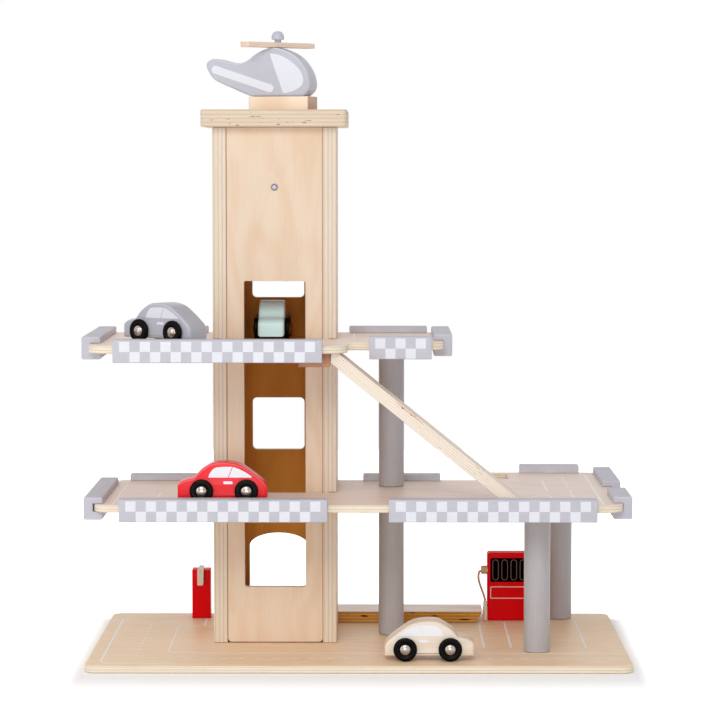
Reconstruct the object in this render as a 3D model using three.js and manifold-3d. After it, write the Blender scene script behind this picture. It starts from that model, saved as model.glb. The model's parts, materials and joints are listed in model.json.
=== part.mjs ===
// A wooden toy parking garage: a base board, a lift tower with a helipad roof, two decks with
// grooved edge rails, grey columns, ramps, a fuel pump, a barrier, a helicopter and four cars.
// Lengths are in millimetres, X runs right, Y runs to the back and Z runs up. The origin is the
// centre of the base board's underside.
import * as THREE from "three";
import { mergeVertices } from "three/addons/utils/BufferGeometryUtils.js";
import Module from "manifold-3d";

const wasm = await Module();
wasm.setup();

// Clearances
const glueGap = 0.3;
const boreGap = 0.35;
const slideGap = 2;
const cutOverrun = 4;

// Base board
const baseLength = 575;
const baseDepth = 329;
const baseThickness = 8;
const baseCornerRadius = 12;
const baseEdge = 1.5;

// Deck boards
const deckThickness = 8;
const deckEdge = 0.8;
const deckCornerRadius = 20;
const deckFront = -140;
const deckBack = 84;
const lowerDeckLevel = 173.6;
const lowerDeckLeft = -280;
const lowerDeckRight = 278.5;
const lowerBayLeft = 138;
const lowerBayBack = 160;
const upperDeckLevel = 340.8;
const upperDeckLeft = -284;
const upperNoseX = -12;
const upperWingReach = 102;
const upperDeckRight = upperNoseX + upperWingReach;
const upperWingFront = -88;
const slotLeft = 148.5;
const slotWidth = 20;
const slotFront = 92;
const slotDepth = 52;
const slotCornerRadius = 3;

// Tower
const towerCentreX = -91.9;
const towerFront = -30.65;
const towerWidth = 134;
const towerDepth = 122;
const roofAboveAxle = 64.7;
const sidePanelThickness = 15;
const facePanelThickness = 9;
const facePanelRecess = 1;
const facePanelLift = 0.8;
const facePanelFootRadius = 4;
const panelEdge = 0.8;
const dadoDepth = 7.5;
const doorWidth = 66.5;
const doorSill = 61.8;
const doorTopAboveDeck = 62.9;
const doorRadius = 4;
const windowWidth = 58.3;
const windowHeight = 58.6;
const windowRadius = 5;
const lowerSillAboveDeck = 35.1;
const upperSillAboveDeck = 39.6;
const archWidth = 66;
const archSpring = 90.8;
const archRise = 15;
const roofThickness = 18.8;
const roofOverhang = 12;
const roofCornerRadius = 5;
const roofEdge = 2;

// Edge rails
const railWidth = 20;
const railGrooveDepth = 10;
const railAboveDeck = 7;
const bayRailAboveDeck = 8.8;
const railBelowDeck = 9;
const railRound = 1.6;
const railEndEdge = 0.8;
const longRailLength = 218;
const leftRailLength = 180;
const rightRailLength = 134;
const lowerRightFrontRailLength = 81;
const backRailLength = 87;
const lowerBayRailLength = 68;
const upperShortRailLength = 66.2;
const lowerFrontLeftRailX = -142;
const lowerFrontRightRailX = 140.4;
const upperFrontLeftRailX = -147.4;
const upperFrontRightRailX = 43.9;
const lowerBackLeftRailX = -215.5;
const lowerBackMiddleRailX = 47;
const lowerBayRailX = 218;
const upperBackLeftRailX = -214.5;
const upperBackRightRailX = 31.5;
const lowerLeftRailY = -40;
const lowerRightBackRailY = 87.5;
const lowerRightFrontRailY = -80.5;
const upperLeftRailY = -10;
const upperRightRailY = 17;

// Columns
const columnDiameter = 28;
const columnEdge = 1;
const middleColumnX = 35;
const middleColumnY = 30;
const frontColumnX = 190.8;
const frontColumnY = -77;
const backColumnX = 229;
const backColumnY = 133;

// Ramp between the decks, and the loose ramp that lies on the base
const rampAngle = THREE.MathUtils.degToRad(38.95);
const rampThickness = 12.9;
const rampWidth = 48;
const rampTopX = -21.8;
const rampTongue = 7.8;
const rampEdge = 0.6;
const restBlockLength = 33.6;
const restBlockHeight = 14.5;
const looseRampRight = 139.3;
const looseRampLength = 262;
const looseRampThickness = 12.9;
const looseRampFront = 97;
const looseRampSideGap = 0.5;
const looseRampUndercut = 7.4;

// Fuel pump
const pumpLeft = 145.3;
const pumpWidth = 50.7;
const pumpFront = 113.5;
const pumpDepth = 20;
const pumpHeight = 78;
const pumpRound = 3;
const pumpEdge = 1.5;
const pegDiameter = 9.8;
const pegProud = 7.1;
const pegSeat = 8;
const pegY = 118.6;
const pegHeight = 58;
const pegRound = 1.2;
const hoseDiameter = 2;
const hoseExitForward = 2.6;
const hoseExitDrop = 1.2;
const nozzleDiameter = 5.4;
const nozzleHeight = 22.8;
const nozzleX = 142.8;
const nozzleY = 112.6;
const nozzleEdge = 0.7;
const nozzleCollarHeight = 6;
const nozzleNeck = 0.7;

// Barrier
const postX = -182.9;
const postFront = 127;
const postWidth = 21.3;
const postDepth = 21;
const postHeight = 56;
const postEdge = 1.2;
const postSlotWidth = 6.6;
const postSlotDepth = 15.1;
const armThickness = 5.8;
const armHeight = 18.6;
const armProud = 24;
const armRound = 2;
const armEdge = 0.5;
const pinDiameter = 4;
const pinInset = 0.5;

// Lift cabin and winding gear
const liftBelowDeck = 3.6;
const cabinBoard = 6;
const cabinHeight = 72;
const cabinEdge = 0.6;
const axleAboveWindow = 66.1;
const axleDiameter = 14;
const drumDiameter = 18;
const drumWidth = 26;
const flangeDiameter = 34;
const flangeThickness = 4;
const axlePlay = 0.5;
const liftCordDiameter = 2;
const stubDiameter = 9;
const crankThrow = 44;
const crankArmWidth = 16;
const crankArmThickness = 8;
const crankArmEdge = 1;
const crankBehindPanel = 2.4;
const knobDiameter = 15;
const knobNeckDiameter = 11;
const knobLength = 30;
const knobRound = 3;
const screwHeadDiameter = 7.5;
const screwHeadHeight = 1.8;
const screwDiameter = 3.6;
const screwGrip = 14;

// Helicopter
const heliYaw = THREE.MathUtils.degToRad(-16);
const heliLength = 120;
const heliHeight = 52.8;
const heliWidth = 28.5;
const heliEdge = 2.4;
const heliX = -108;
const standLength = 68.7;
const standWidth = 35;
const standHeight = 14.8;
const standEdge = 1;
const standRound = 2;
const standAhead = 24.6;
const rotorLength = 94;
const rotorWidth = 15;
const rotorThickness = 5.6;
const rotorEdge = 0.8;
const rotorYaw = THREE.MathUtils.degToRad(40);
const rotorPegDiameter = 7.4;
const rotorPegSeat = 14;
const rotorPegPlay = 3.2;
const rotorPegCapDiameter = 14;
const rotorPegCapHeight = 9.4;

// Cars, all alike
const carLength = 94.6;
const carBodyHeight = 37.6;
const carBodyWidth = 28.8;
const carWidth = 41.6;
const carEdge = 2.2;
const carGroundGap = 4.9;
const wheelDiameter = 25;
const wheelRound = 1.6;
const hubDiameter = 12;
const hubDome = 1.6;
const hubRecess = 0.6;
const carAxleDiameter = 5;
const wheelbase = 47.4;
const rearOverhang = 21.8;
const woodCarX = 74.3;
const woodCarY = -123;
const redCarX = -144.2;
const redCarY = -107;
const greyCarX = -206.2;
const greyCarY = -88;
const greyCarYaw = THREE.MathUtils.degToRad(142.5);
const mintCarX = -4.6;
const mintCarAhead = 1.4;

// Outlines as shares of the length and the height that they follow
const carOutlineShares = [
  [1, 0.31],
  [0.995, 0.38],
  [0.952, 0.465],
  [0.886, 0.52],
  [0.819, 0.563],
  [0.752, 0.746],
  [0.663, 0.9],
  [0.586, 0.982],
  [0.474, 1],
  [0.374, 0.972],
  [0.286, 0.9],
  [0.174, 0.718],
  [0.04, 0.45],
  [0, 0.29],
];
const heliTopShares = [
  [0.932, 0],
  [0.985, 0.11],
  [1, 0.27],
  [0.973, 0.5],
  [0.898, 0.75],
  [0.794, 0.913],
  [0.67, 1],
  [0.573, 0.975],
  [0.473, 0.87],
  [0.398, 0.745],
  [0.32, 0.69],
  [0.223, 0.71],
  [0.085, 0.785],
  [0.022, 0.745],
  [0, 0.66],
];
const heliTailShares = [
  [0.02, 0.52],
  [0.09, 0.355],
  [0.31, 0.15],
  [0.435, 0],
];
const rotorPegShare = 0.656;
const heliBoreSides = 12;

// Counts of facets
const arcSegments = 2;
const smallArcSegments = 1;
const columnSides = 24;
const wheelSides = 18;
const turnedSides = 18;
const smallSides = 12;
const cordSides = 8;
const hoseSteps = 18;
const carSplinePoints = 26;
const heliSplinePoints = 28;

// Colours
const birch = 0xe8cba4;
const birchDark = 0xc98f63;
const paintGrey = 0xc9c8d1;
const columnGrey = 0x908b8d;
const red = 0xcd0c14;
const black = 0x111113;
const hubBrown = 0x6a5a4c;
const steel = 0xb9bbc0;
const cordWhite = 0xe9e4da;
const mint = 0xcfe9ec;
const carGrey = 0xb4b3bd;

const garage = new THREE.Group();
const quarter = Math.PI / 2;

function material(color, roughness = 0.65, metalness = 0) {
  return new THREE.MeshStandardMaterial({ color, roughness, metalness });
}

function add(name, geometry, color, parent = garage, roughness = 0.65, metalness = 0) {
  const mesh = new THREE.Mesh(geometry, material(color, roughness, metalness));
  mesh.name = name;
  parent.add(mesh);
  return mesh;
}

// Joining and cutting
function solidOf(geometry) {
  const bare = geometry.clone();
  bare.deleteAttribute("normal");
  bare.deleteAttribute("uv");
  const merged = mergeVertices(bare);
  const triVerts = new Uint32Array(merged.index.array);
  const vertProperties = new Float32Array(merged.attributes.position.array);
  return new wasm.Manifold(new wasm.Mesh({ numProp: 3, vertProperties, triVerts }));
}

function geometryOf(solid) {
  const made = solid.getMesh();
  const geometry = new THREE.BufferGeometry();
  const positions = new Float32Array(made.vertProperties);
  geometry.setAttribute("position", new THREE.BufferAttribute(positions, 3));
  geometry.setIndex(new THREE.BufferAttribute(new Uint32Array(made.triVerts), 1));
  geometry.computeVertexNormals();
  return geometry;
}

function cut(geometry, tool) {
  return geometryOf(solidOf(geometry).subtract(solidOf(tool)));
}

function join(geometry, other) {
  return geometryOf(solidOf(geometry).add(solidOf(other)));
}

// Outlines
function roundedRectangle(path, left, bottom, right, top, radius) {
  path.absarc(left + radius, bottom + radius, radius, Math.PI, 3 * quarter, false);
  path.absarc(right - radius, bottom + radius, radius, 3 * quarter, 4 * quarter, false);
  path.absarc(right - radius, top - radius, radius, 0, quarter, false);
  path.absarc(left + radius, top - radius, radius, quarter, Math.PI, false);
  path.lineTo(left, bottom + radius);
  return path;
}

function centredRectangle(length, width, radius) {
  const shape = new THREE.Shape();
  return roundedRectangle(shape, -length / 2, -width / 2, length / 2, width / 2, radius);
}

function circlePoints(x, y, radius, sides) {
  return Array.from({ length: sides }, (_, i) => {
    const angle = (2 * Math.PI * i) / sides;
    return new THREE.Vector2(x + radius * Math.cos(angle), y + radius * Math.sin(angle));
  });
}

function circleHole(x, y, radius, sides) {
  return new THREE.Path(circlePoints(x, y, radius, sides));
}

// A board cut to an outline, with eased edges, lying from zero up to its thickness
function board(shape, thickness, edge, segments = arcSegments, edgeSteps = 1) {
  const geometry = new THREE.ExtrudeGeometry(shape, {
    depth: thickness - 2 * edge,
    bevelEnabled: true,
    bevelThickness: edge,
    bevelSize: edge,
    bevelOffset: -edge,
    bevelSegments: edgeSteps,
    curveSegments: segments,
  });
  return geometry.translate(0, 0, edge);
}

// The same board standing up, its outline in X and Z and its thickness centred on Y
function standingBoard(shape, thickness, edge, segments = arcSegments, edgeSteps = 1) {
  const geometry = board(shape, thickness, edge, segments, edgeSteps);
  return geometry.translate(0, 0, -thickness / 2).rotateX(quarter);
}

// A turned piece: pairs of radius and distance along the axis, which is Y
function turned(profile, sides) {
  return new THREE.LatheGeometry(profile.map(([r, y]) => new THREE.Vector2(r, y)), sides);
}

function turnedRod(radius, length, edge, sides) {
  return turned(
    [
      [0, 0],
      [radius - edge, 0],
      [radius, edge],
      [radius, length - edge],
      [radius - edge, length],
      [0, length],
    ],
    sides,
  );
}

function upright(geometry) {
  return geometry.rotateX(quarter);
}

// Base board
const baseBoard = add(
  "base_board",
  board(centredRectangle(baseLength, baseDepth, baseCornerRadius), baseThickness, baseEdge),
  birch,
);
baseBoard.position.set(0, 0, 0);
const ground = baseThickness + glueGap;

// Tower panels, which stand on the base and take the decks in grooves across their outer faces
const towerBack = towerFront + towerDepth;
const towerCentreY = (towerFront + towerBack) / 2;
const lowerWindowSill = lowerDeckLevel + lowerSillAboveDeck;
const upperWindowSill = upperDeckLevel + upperSillAboveDeck;
const doorTop = upperDeckLevel + doorTopAboveDeck;
const axleLevel = upperWindowSill + windowHeight + axleAboveWindow;
const roofUnderside = axleLevel + roofAboveAxle;
const panelHeight = roofUnderside - glueGap - ground;
const shaftWidth = towerWidth - 2 * sidePanelThickness;

function sidePanel(side) {
  const outer = side * sidePanelThickness;
  const floor = side * (sidePanelThickness - dadoDepth);
  const shape = new THREE.Shape();
  shape.moveTo(0, 0);
  shape.lineTo(outer, 0);
  for (const level of [lowerDeckLevel, upperDeckLevel]) {
    const grooveBottom = level - deckThickness - glueGap - ground;
    const grooveTop = level + glueGap - ground;
    shape.lineTo(outer, grooveBottom);
    shape.lineTo(floor, grooveBottom);
    shape.lineTo(floor, grooveTop);
    shape.lineTo(outer, grooveTop);
  }
  shape.lineTo(outer, panelHeight);
  shape.lineTo(0, panelHeight);
  return standingBoard(shape, towerDepth, panelEdge);
}

for (const [name, side] of [
  ["tower_left_panel", -1],
  ["tower_right_panel", 1],
]) {
  const panel = add(name, sidePanel(side), birch);
  panel.position.set(towerCentreX + (side * shaftWidth) / 2, towerCentreY, ground);
}

const facePanelWidth = shaftWidth - 2 * glueGap;
const facePanelFoot = ground + facePanelLift;
const facePanelHeight = roofUnderside - glueGap - facePanelFoot;

function frontPanel() {
  const half = facePanelWidth / 2;
  const shape = new THREE.Shape();
  roundedRectangle(shape, -half, 0, half, facePanelHeight, facePanelFootRadius);
  const sill = baseThickness + doorSill - facePanelFoot;
  const door = new THREE.Path();
  const top = doorTop - facePanelFoot;
  roundedRectangle(door, -doorWidth / 2, sill, doorWidth / 2, top, doorRadius);
  shape.holes.push(door);
  const screwBore = screwDiameter / 2 + boreGap;
  shape.holes.push(circleHole(0, axleLevel - facePanelFoot, screwBore, smallSides));
  return standingBoard(shape, facePanelThickness, panelEdge);
}

const frontPanelY = towerFront + facePanelRecess + facePanelThickness / 2;
const front = add("tower_front_panel", frontPanel(), birch);
front.position.set(towerCentreX, frontPanelY, facePanelFoot);

function backPanel() {
  const half = facePanelWidth / 2;
  const spring = baseThickness + archSpring - facePanelFoot;
  const shape = new THREE.Shape();
  shape.moveTo(-half, facePanelHeight);
  shape.lineTo(-half, 0);
  shape.lineTo(-archWidth / 2, 0);
  shape.absellipse(0, spring, archWidth / 2, archRise, Math.PI, 0, true, 0);
  shape.lineTo(archWidth / 2, 0);
  shape.lineTo(half, 0);
  shape.lineTo(half, facePanelHeight);
  for (const windowSill of [lowerWindowSill, upperWindowSill]) {
    const sill = windowSill - facePanelFoot;
    const hole = new THREE.Path();
    const side = windowWidth / 2;
    roundedRectangle(hole, -side, sill, side, sill + windowHeight, windowRadius);
    shape.holes.push(hole);
  }
  const axleBore = axleDiameter / 2 + boreGap;
  shape.holes.push(circleHole(0, axleLevel - facePanelFoot, axleBore, turnedSides));
  return standingBoard(shape, facePanelThickness, panelEdge, arcSegments + 1);
}

const backPanelY = towerBack - facePanelRecess - facePanelThickness / 2;
const back = add("tower_back_panel", backPanel(), birch);
back.position.set(towerCentreX, backPanelY, facePanelFoot);

// Roof, the helipad
const roofTop = roofUnderside + roofThickness;
const roofShape = centredRectangle(
  towerWidth + 2 * roofOverhang,
  towerDepth + 2 * roofOverhang,
  roofCornerRadius,
);
const roof = add("tower_roof", board(roofShape, roofThickness, roofEdge), birch);
roof.position.set(towerCentreX, towerCentreY, roofUnderside);

// Decks, each one board with a notch open at the back that straddles the tower
const notchHalf = towerWidth / 2 - dadoDepth + glueGap;
const notchFront = towerFront - glueGap;

function cutNotch(shape) {
  shape.lineTo(towerCentreX + notchHalf, deckBack);
  shape.lineTo(towerCentreX + notchHalf, notchFront);
  shape.lineTo(towerCentreX - notchHalf, notchFront);
  shape.lineTo(towerCentreX - notchHalf, deckBack);
}

function corner(shape, x, y, radius, turns) {
  shape.absarc(x, y, radius, turns * quarter, (turns + 1) * quarter, false);
}

function lowerDeck() {
  const r = deckCornerRadius;
  const shape = new THREE.Shape();
  corner(shape, lowerDeckLeft + r, deckFront + r, r, 2);
  corner(shape, lowerDeckRight - r, deckFront + r, r, 3);
  corner(shape, lowerDeckRight - r, lowerBayBack - r, r, 0);
  shape.lineTo(lowerBayLeft, lowerBayBack);
  shape.lineTo(lowerBayLeft, deckBack);
  cutNotch(shape);
  corner(shape, lowerDeckLeft + r, deckBack - r, r, 1);
  const slot = new THREE.Path();
  const slotRight = slotLeft + slotWidth;
  const slotBack = slotFront + slotDepth;
  roundedRectangle(slot, slotLeft, slotFront, slotRight, slotBack, slotCornerRadius);
  shape.holes.push(slot);
  return board(shape, deckThickness, deckEdge);
}

function upperDeck() {
  const r = deckCornerRadius;
  const shape = new THREE.Shape();
  corner(shape, upperDeckLeft + r, deckFront + r, r, 2);
  corner(shape, upperNoseX - r, deckFront + r, r, 3);
  shape.lineTo(upperNoseX, upperWingFront);
  corner(shape, upperDeckRight - r, upperWingFront + r, r, 3);
  corner(shape, upperDeckRight - r, deckBack - r, r, 0);
  cutNotch(shape);
  corner(shape, upperDeckLeft + r, deckBack - r, r, 1);
  return board(shape, deckThickness, deckEdge);
}

add("lower_deck", lowerDeck(), birch).position.z = lowerDeckLevel - deckThickness;
add("upper_deck", upperDeck(), birch).position.z = upperDeckLevel - deckThickness;

// Edge rails with a groove that takes the deck's edge. The outline lies in X and Z, with the
// deck's edge at zero and its upper face at zero, and faces outwards along X.
function rail(length, aboveDeck) {
  const inner = -railGrooveDepth;
  const outer = railWidth - railGrooveDepth;
  const bottom = -deckThickness - railBelowDeck;
  const r = railRound;
  const shape = new THREE.Shape();
  corner(shape, inner + r, bottom + r, r, 2);
  corner(shape, outer - r, bottom + r, r, 3);
  corner(shape, outer - r, aboveDeck - r, r, 0);
  corner(shape, inner + r, aboveDeck - r, r, 1);
  shape.lineTo(inner, glueGap);
  shape.lineTo(glueGap, glueGap);
  shape.lineTo(glueGap, -deckThickness - glueGap);
  shape.lineTo(inner, -deckThickness - glueGap);
  return standingBoard(shape, length, railEndEdge, smallArcSegments);
}

const facing = { right: 0, back: quarter, left: 2 * quarter, front: 3 * quarter };

function addRail(name, length, side, x, y, level, aboveDeck = railAboveDeck) {
  const mesh = add(name, rail(length, aboveDeck), paintGrey);
  mesh.rotation.z = facing[side];
  mesh.position.set(x, y, level);
}

function addFrontRail(name, length, x, y, level) {
  addRail(name, length, "front", x, y, level);
}

addFrontRail("lower_front_left_rail", longRailLength, lowerFrontLeftRailX, deckFront, lowerDeckLevel);
addFrontRail("lower_front_right_rail", longRailLength, lowerFrontRightRailX, deckFront, lowerDeckLevel);
addFrontRail("upper_front_left_rail", longRailLength, upperFrontLeftRailX, deckFront, upperDeckLevel);
addFrontRail(
  "upper_front_right_rail",
  upperShortRailLength,
  upperFrontRightRailX,
  upperWingFront,
  upperDeckLevel,
);
addRail("lower_left_end_rail", leftRailLength, "left", lowerDeckLeft, lowerLeftRailY, lowerDeckLevel);
addRail("upper_left_end_rail", leftRailLength, "left", upperDeckLeft, upperLeftRailY, upperDeckLevel);
addRail(
  "lower_right_end_rail_back",
  rightRailLength,
  "right",
  lowerDeckRight,
  lowerRightBackRailY,
  lowerDeckLevel,
);
addRail(
  "lower_right_end_rail_front",
  lowerRightFrontRailLength,
  "right",
  lowerDeckRight,
  lowerRightFrontRailY,
  lowerDeckLevel,
);
addRail("upper_right_end_rail", rightRailLength, "right", upperDeckRight, upperRightRailY, upperDeckLevel);
addRail("lower_back_left_rail", backRailLength, "back", lowerBackLeftRailX, deckBack, lowerDeckLevel);
addRail("lower_back_middle_rail", backRailLength, "back", lowerBackMiddleRailX, deckBack, lowerDeckLevel);
addRail(
  "lower_back_right_rail",
  lowerBayRailLength,
  "back",
  lowerBayRailX,
  lowerBayBack,
  lowerDeckLevel,
  bayRailAboveDeck,
);
addRail("upper_back_left_rail", backRailLength, "back", upperBackLeftRailX, deckBack, upperDeckLevel);
addRail("upper_back_right_rail", backRailLength, "back", upperBackRightRailX, deckBack, upperDeckLevel);

// Columns
function addColumn(name, x, y, from, to) {
  const rod = turnedRod(columnDiameter / 2, to - from - 2 * glueGap, columnEdge, columnSides);
  const mesh = add(name, upright(rod), columnGrey);
  mesh.position.set(x, y, from + glueGap);
}

const lowerUnderside = lowerDeckLevel - deckThickness;
const upperUnderside = upperDeckLevel - deckThickness;
addColumn("middle_column_lower", middleColumnX, middleColumnY, baseThickness, lowerUnderside);
addColumn("middle_column_upper", middleColumnX, middleColumnY, lowerDeckLevel, upperUnderside);
addColumn("front_right_column", frontColumnX, frontColumnY, baseThickness, lowerUnderside);
addColumn("back_right_column", backColumnX, backColumnY, baseThickness, lowerUnderside);

// Upper ramp: cut level under the nose and on the lower deck, behind the front rail
const rampFront = deckFront + railGrooveDepth + glueGap;
const rampY = rampFront + rampWidth / 2;
const rampSlope = Math.tan(rampAngle);
const rampRise = rampThickness / Math.cos(rampAngle);

function upperRamp() {
  const top = upperUnderside - glueGap;
  const foot = lowerDeckLevel + glueGap;
  const endX = rampTopX - rampTongue;
  const toeX = rampTopX + (top - foot) / rampSlope;
  const heelX = toeX - rampRise / rampSlope;
  const endZ = top - rampRise + rampTongue * rampSlope;
  const shape = new THREE.Shape();
  shape.moveTo(endX, endZ);
  shape.lineTo(heelX, foot);
  shape.lineTo(toeX, foot);
  shape.lineTo(rampTopX, top);
  shape.lineTo(endX, top);
  return standingBoard(shape, rampWidth, rampEdge);
}

add("upper_ramp", upperRamp(), birch).position.y = rampY;

const restBlockShape = centredRectangle(restBlockLength, rampWidth, rampEdge * 2);
const restBlock = add(
  "ramp_rest_block",
  board(restBlockShape, restBlockHeight, rampEdge, smallArcSegments),
  birchDark,
);
const restBlockX = rampTopX - rampTongue - glueGap - restBlockLength / 2;
restBlock.position.set(restBlockX, rampY, upperUnderside - glueGap - restBlockHeight);

// Loose ramp: its ends are undercut, and it is as wide as the slot in the lower deck takes
const looseRampWidth = slotDepth - 2 * looseRampSideGap;

function looseRamp() {
  const left = looseRampRight - looseRampLength;
  const shape = new THREE.Shape();
  shape.moveTo(left, 0);
  shape.lineTo(looseRampRight - looseRampUndercut, 0);
  shape.lineTo(looseRampRight, looseRampThickness);
  shape.lineTo(left + looseRampUndercut, looseRampThickness);
  return standingBoard(shape, looseRampWidth, rampEdge);
}

const loose = add("ground_ramp", looseRamp(), birch);
loose.position.set(0, looseRampFront + looseRampWidth / 2, ground);

// Fuel pump with its peg, cord and nozzle
const pegLevel = baseThickness + pegHeight;

function pumpBody() {
  const shape = new THREE.Shape();
  roundedRectangle(shape, 0, 0, pumpWidth, pumpHeight, pumpRound);
  const block = standingBoard(shape, pumpDepth, pumpEdge, arcSegments, 2);
  block.translate(pumpLeft, pumpFront + pumpDepth / 2, ground);
  const bore = new THREE.CylinderGeometry(
    pegDiameter / 2 + boreGap,
    pegDiameter / 2 + boreGap,
    pegSeat + glueGap + cutOverrun,
    smallSides,
  );
  bore.rotateZ(quarter);
  bore.translate(pumpLeft + (pegSeat + glueGap - cutOverrun) / 2, pegY, pegLevel);
  return cut(block, bore);
}

add("fuel_pump_body", pumpBody(), red, garage, 0.4);

const pegLength = pegProud + pegSeat;
const peg = add(
  "pump_hose_peg",
  turnedRod(pegDiameter / 2, pegLength, pegRound, smallSides).rotateZ(-quarter),
  birch,
);
peg.position.set(pumpLeft - pegProud, pegY, pegLevel);

const nozzleRadius = nozzleDiameter / 2;
const nozzle = add(
  "pump_nozzle",
  upright(
    turned(
      [
        [0, 0],
        [nozzleRadius - nozzleEdge, 0],
        [nozzleRadius, nozzleEdge],
        [nozzleRadius, nozzleHeight - nozzleCollarHeight - nozzleEdge],
        [nozzleRadius - nozzleNeck, nozzleHeight - nozzleCollarHeight],
        [nozzleRadius - nozzleNeck, nozzleHeight],
        [0, nozzleHeight],
      ],
      smallSides,
    ),
  ),
  birch,
);
nozzle.position.set(nozzleX, nozzleY, ground);

// The cord's route, as it hangs in the photograph, between the peg's end and the nozzle's top
const hoseStart = [
  pumpLeft - pegProud - glueGap,
  pegY - hoseExitForward,
  pegLevel - hoseExitDrop,
];
const hoseEnd = [nozzleX, nozzleY, ground + nozzleHeight + glueGap];
const hosePoints = [
  hoseStart,
  [136.4, 115.6, 64.2],
  [135.3, 115, 60.2],
  [135.6, 114.4, 55],
  [137.4, 113.8, 48.5],
  [140, 113.2, 41.5],
  [142, 112.8, 35.6],
  hoseEnd,
];
const hosePath = new THREE.CatmullRomCurve3(hosePoints.map((p) => new THREE.Vector3(...p)));
const hoseSection = new THREE.Shape(circlePoints(0, 0, hoseDiameter / 2, cordSides));
add(
  "pump_hose",
  new THREE.ExtrudeGeometry(hoseSection, { steps: hoseSteps, extrudePath: hosePath }),
  cordWhite,
);

// Barrier: a slotted post, an arm that swings up in the slot, and the pin through both
const armRest = ground + postHeight - postSlotDepth + glueGap;
const pivotY = postFront + postDepth / 2;
const pivotZ = armRest + armHeight / 2;

function barrierPost() {
  const half = postWidth / 2;
  const slot = postSlotWidth / 2;
  const slotFloor = postHeight - postSlotDepth;
  const shape = new THREE.Shape();
  shape.moveTo(-half, 0);
  shape.lineTo(half, 0);
  shape.lineTo(half, postHeight);
  shape.lineTo(slot, postHeight);
  shape.lineTo(slot, slotFloor);
  shape.lineTo(-slot, slotFloor);
  shape.lineTo(-slot, postHeight);
  shape.lineTo(-half, postHeight);
  const post = standingBoard(shape, postDepth, postEdge);
  const bore = new THREE.CylinderGeometry(
    pinDiameter / 2 + boreGap,
    pinDiameter / 2 + boreGap,
    postWidth + 2 * cutOverrun,
    smallSides,
  );
  bore.rotateZ(quarter).translate(0, 0, pivotZ - ground);
  return cut(post, bore);
}

const post = add("barrier_post", barrierPost(), red, garage, 0.4);
post.position.set(postX, pivotY, ground);

function barrierArm() {
  const half = armHeight / 2;
  const tip = pivotY - postFront + armProud;
  const shape = new THREE.Shape();
  shape.absarc(0, 0, half, quarter, 3 * quarter, false);
  corner(shape, tip - armRound, armRound - half, armRound, 3);
  corner(shape, tip - armRound, half - armRound, armRound, 0);
  shape.holes.push(circleHole(0, 0, pinDiameter / 2 + boreGap, smallSides));
  return standingBoard(shape, armThickness, armEdge, arcSegments + 1).rotateZ(-quarter);
}

const arm = add("barrier_arm", barrierArm(), birch);
arm.position.set(postX, pivotY, pivotZ);

const pinLength = postWidth - 2 * pinInset;
const pin = add(
  "barrier_pivot_pin",
  turnedRod(pinDiameter / 2, pinLength, pinInset, smallSides).rotateZ(-quarter),
  steel,
  garage,
  0.35,
  0.9,
);
pin.position.set(postX - pinLength / 2, pivotY, pivotZ);

// Lift cabin: a floor, two sides and a top, open at the front and the back
const lift = new THREE.Group();
garage.add(lift);
lift.position.set(towerCentreX, towerCentreY, upperDeckLevel - liftBelowDeck);
const shaftDepth = towerDepth - 2 * (facePanelRecess + facePanelThickness);
const cabinWidth = shaftWidth - 2 * slideGap;
const cabinDepth = shaftDepth - 2 * slideGap;
const cabinBoardShape = () => centredRectangle(cabinWidth, cabinDepth, cabinBoard / 2);
const drumRadius = drumDiameter / 2;
const cordRadius = liftCordDiameter / 2;
const cordOffset = drumRadius + cordRadius + glueGap;

const floor = add("lift_floor", board(cabinBoardShape(), cabinBoard, cabinEdge), birch, lift);
floor.position.z = -cabinBoard;
const cabinSideHeight = cabinHeight - cabinBoard - 2 * glueGap;
for (const [name, side] of [
  ["lift_left_side", -1],
  ["lift_right_side", 1],
]) {
  const shape = centredRectangle(cabinBoard, cabinDepth - cabinBoard, cabinEdge);
  const wall = add(name, board(shape, cabinSideHeight, cabinEdge, smallArcSegments), birch, lift);
  wall.position.set((side * (cabinWidth - cabinBoard)) / 2, 0, glueGap);
}
const cabinTopShape = cabinBoardShape();
cabinTopShape.holes.push(circleHole(cordOffset, 0, cordRadius + boreGap, smallSides));
const cabinTop = add("lift_top", board(cabinTopShape, cabinBoard, cabinEdge), birch, lift);
cabinTop.position.z = cabinHeight - cabinBoard;

// Lift cord, straight down from the side of the drum to the cabin's top
const cabinCeiling = upperDeckLevel - liftBelowDeck + cabinHeight;
const cordLength = axleLevel - cabinCeiling - glueGap;
const liftCord = add(
  "lift_cord",
  upright(new THREE.CylinderGeometry(cordRadius, cordRadius, cordLength, cordSides)),
  cordWhite,
);
liftCord.position.set(towerCentreX + cordOffset, towerCentreY, axleLevel - cordLength / 2);

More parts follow.
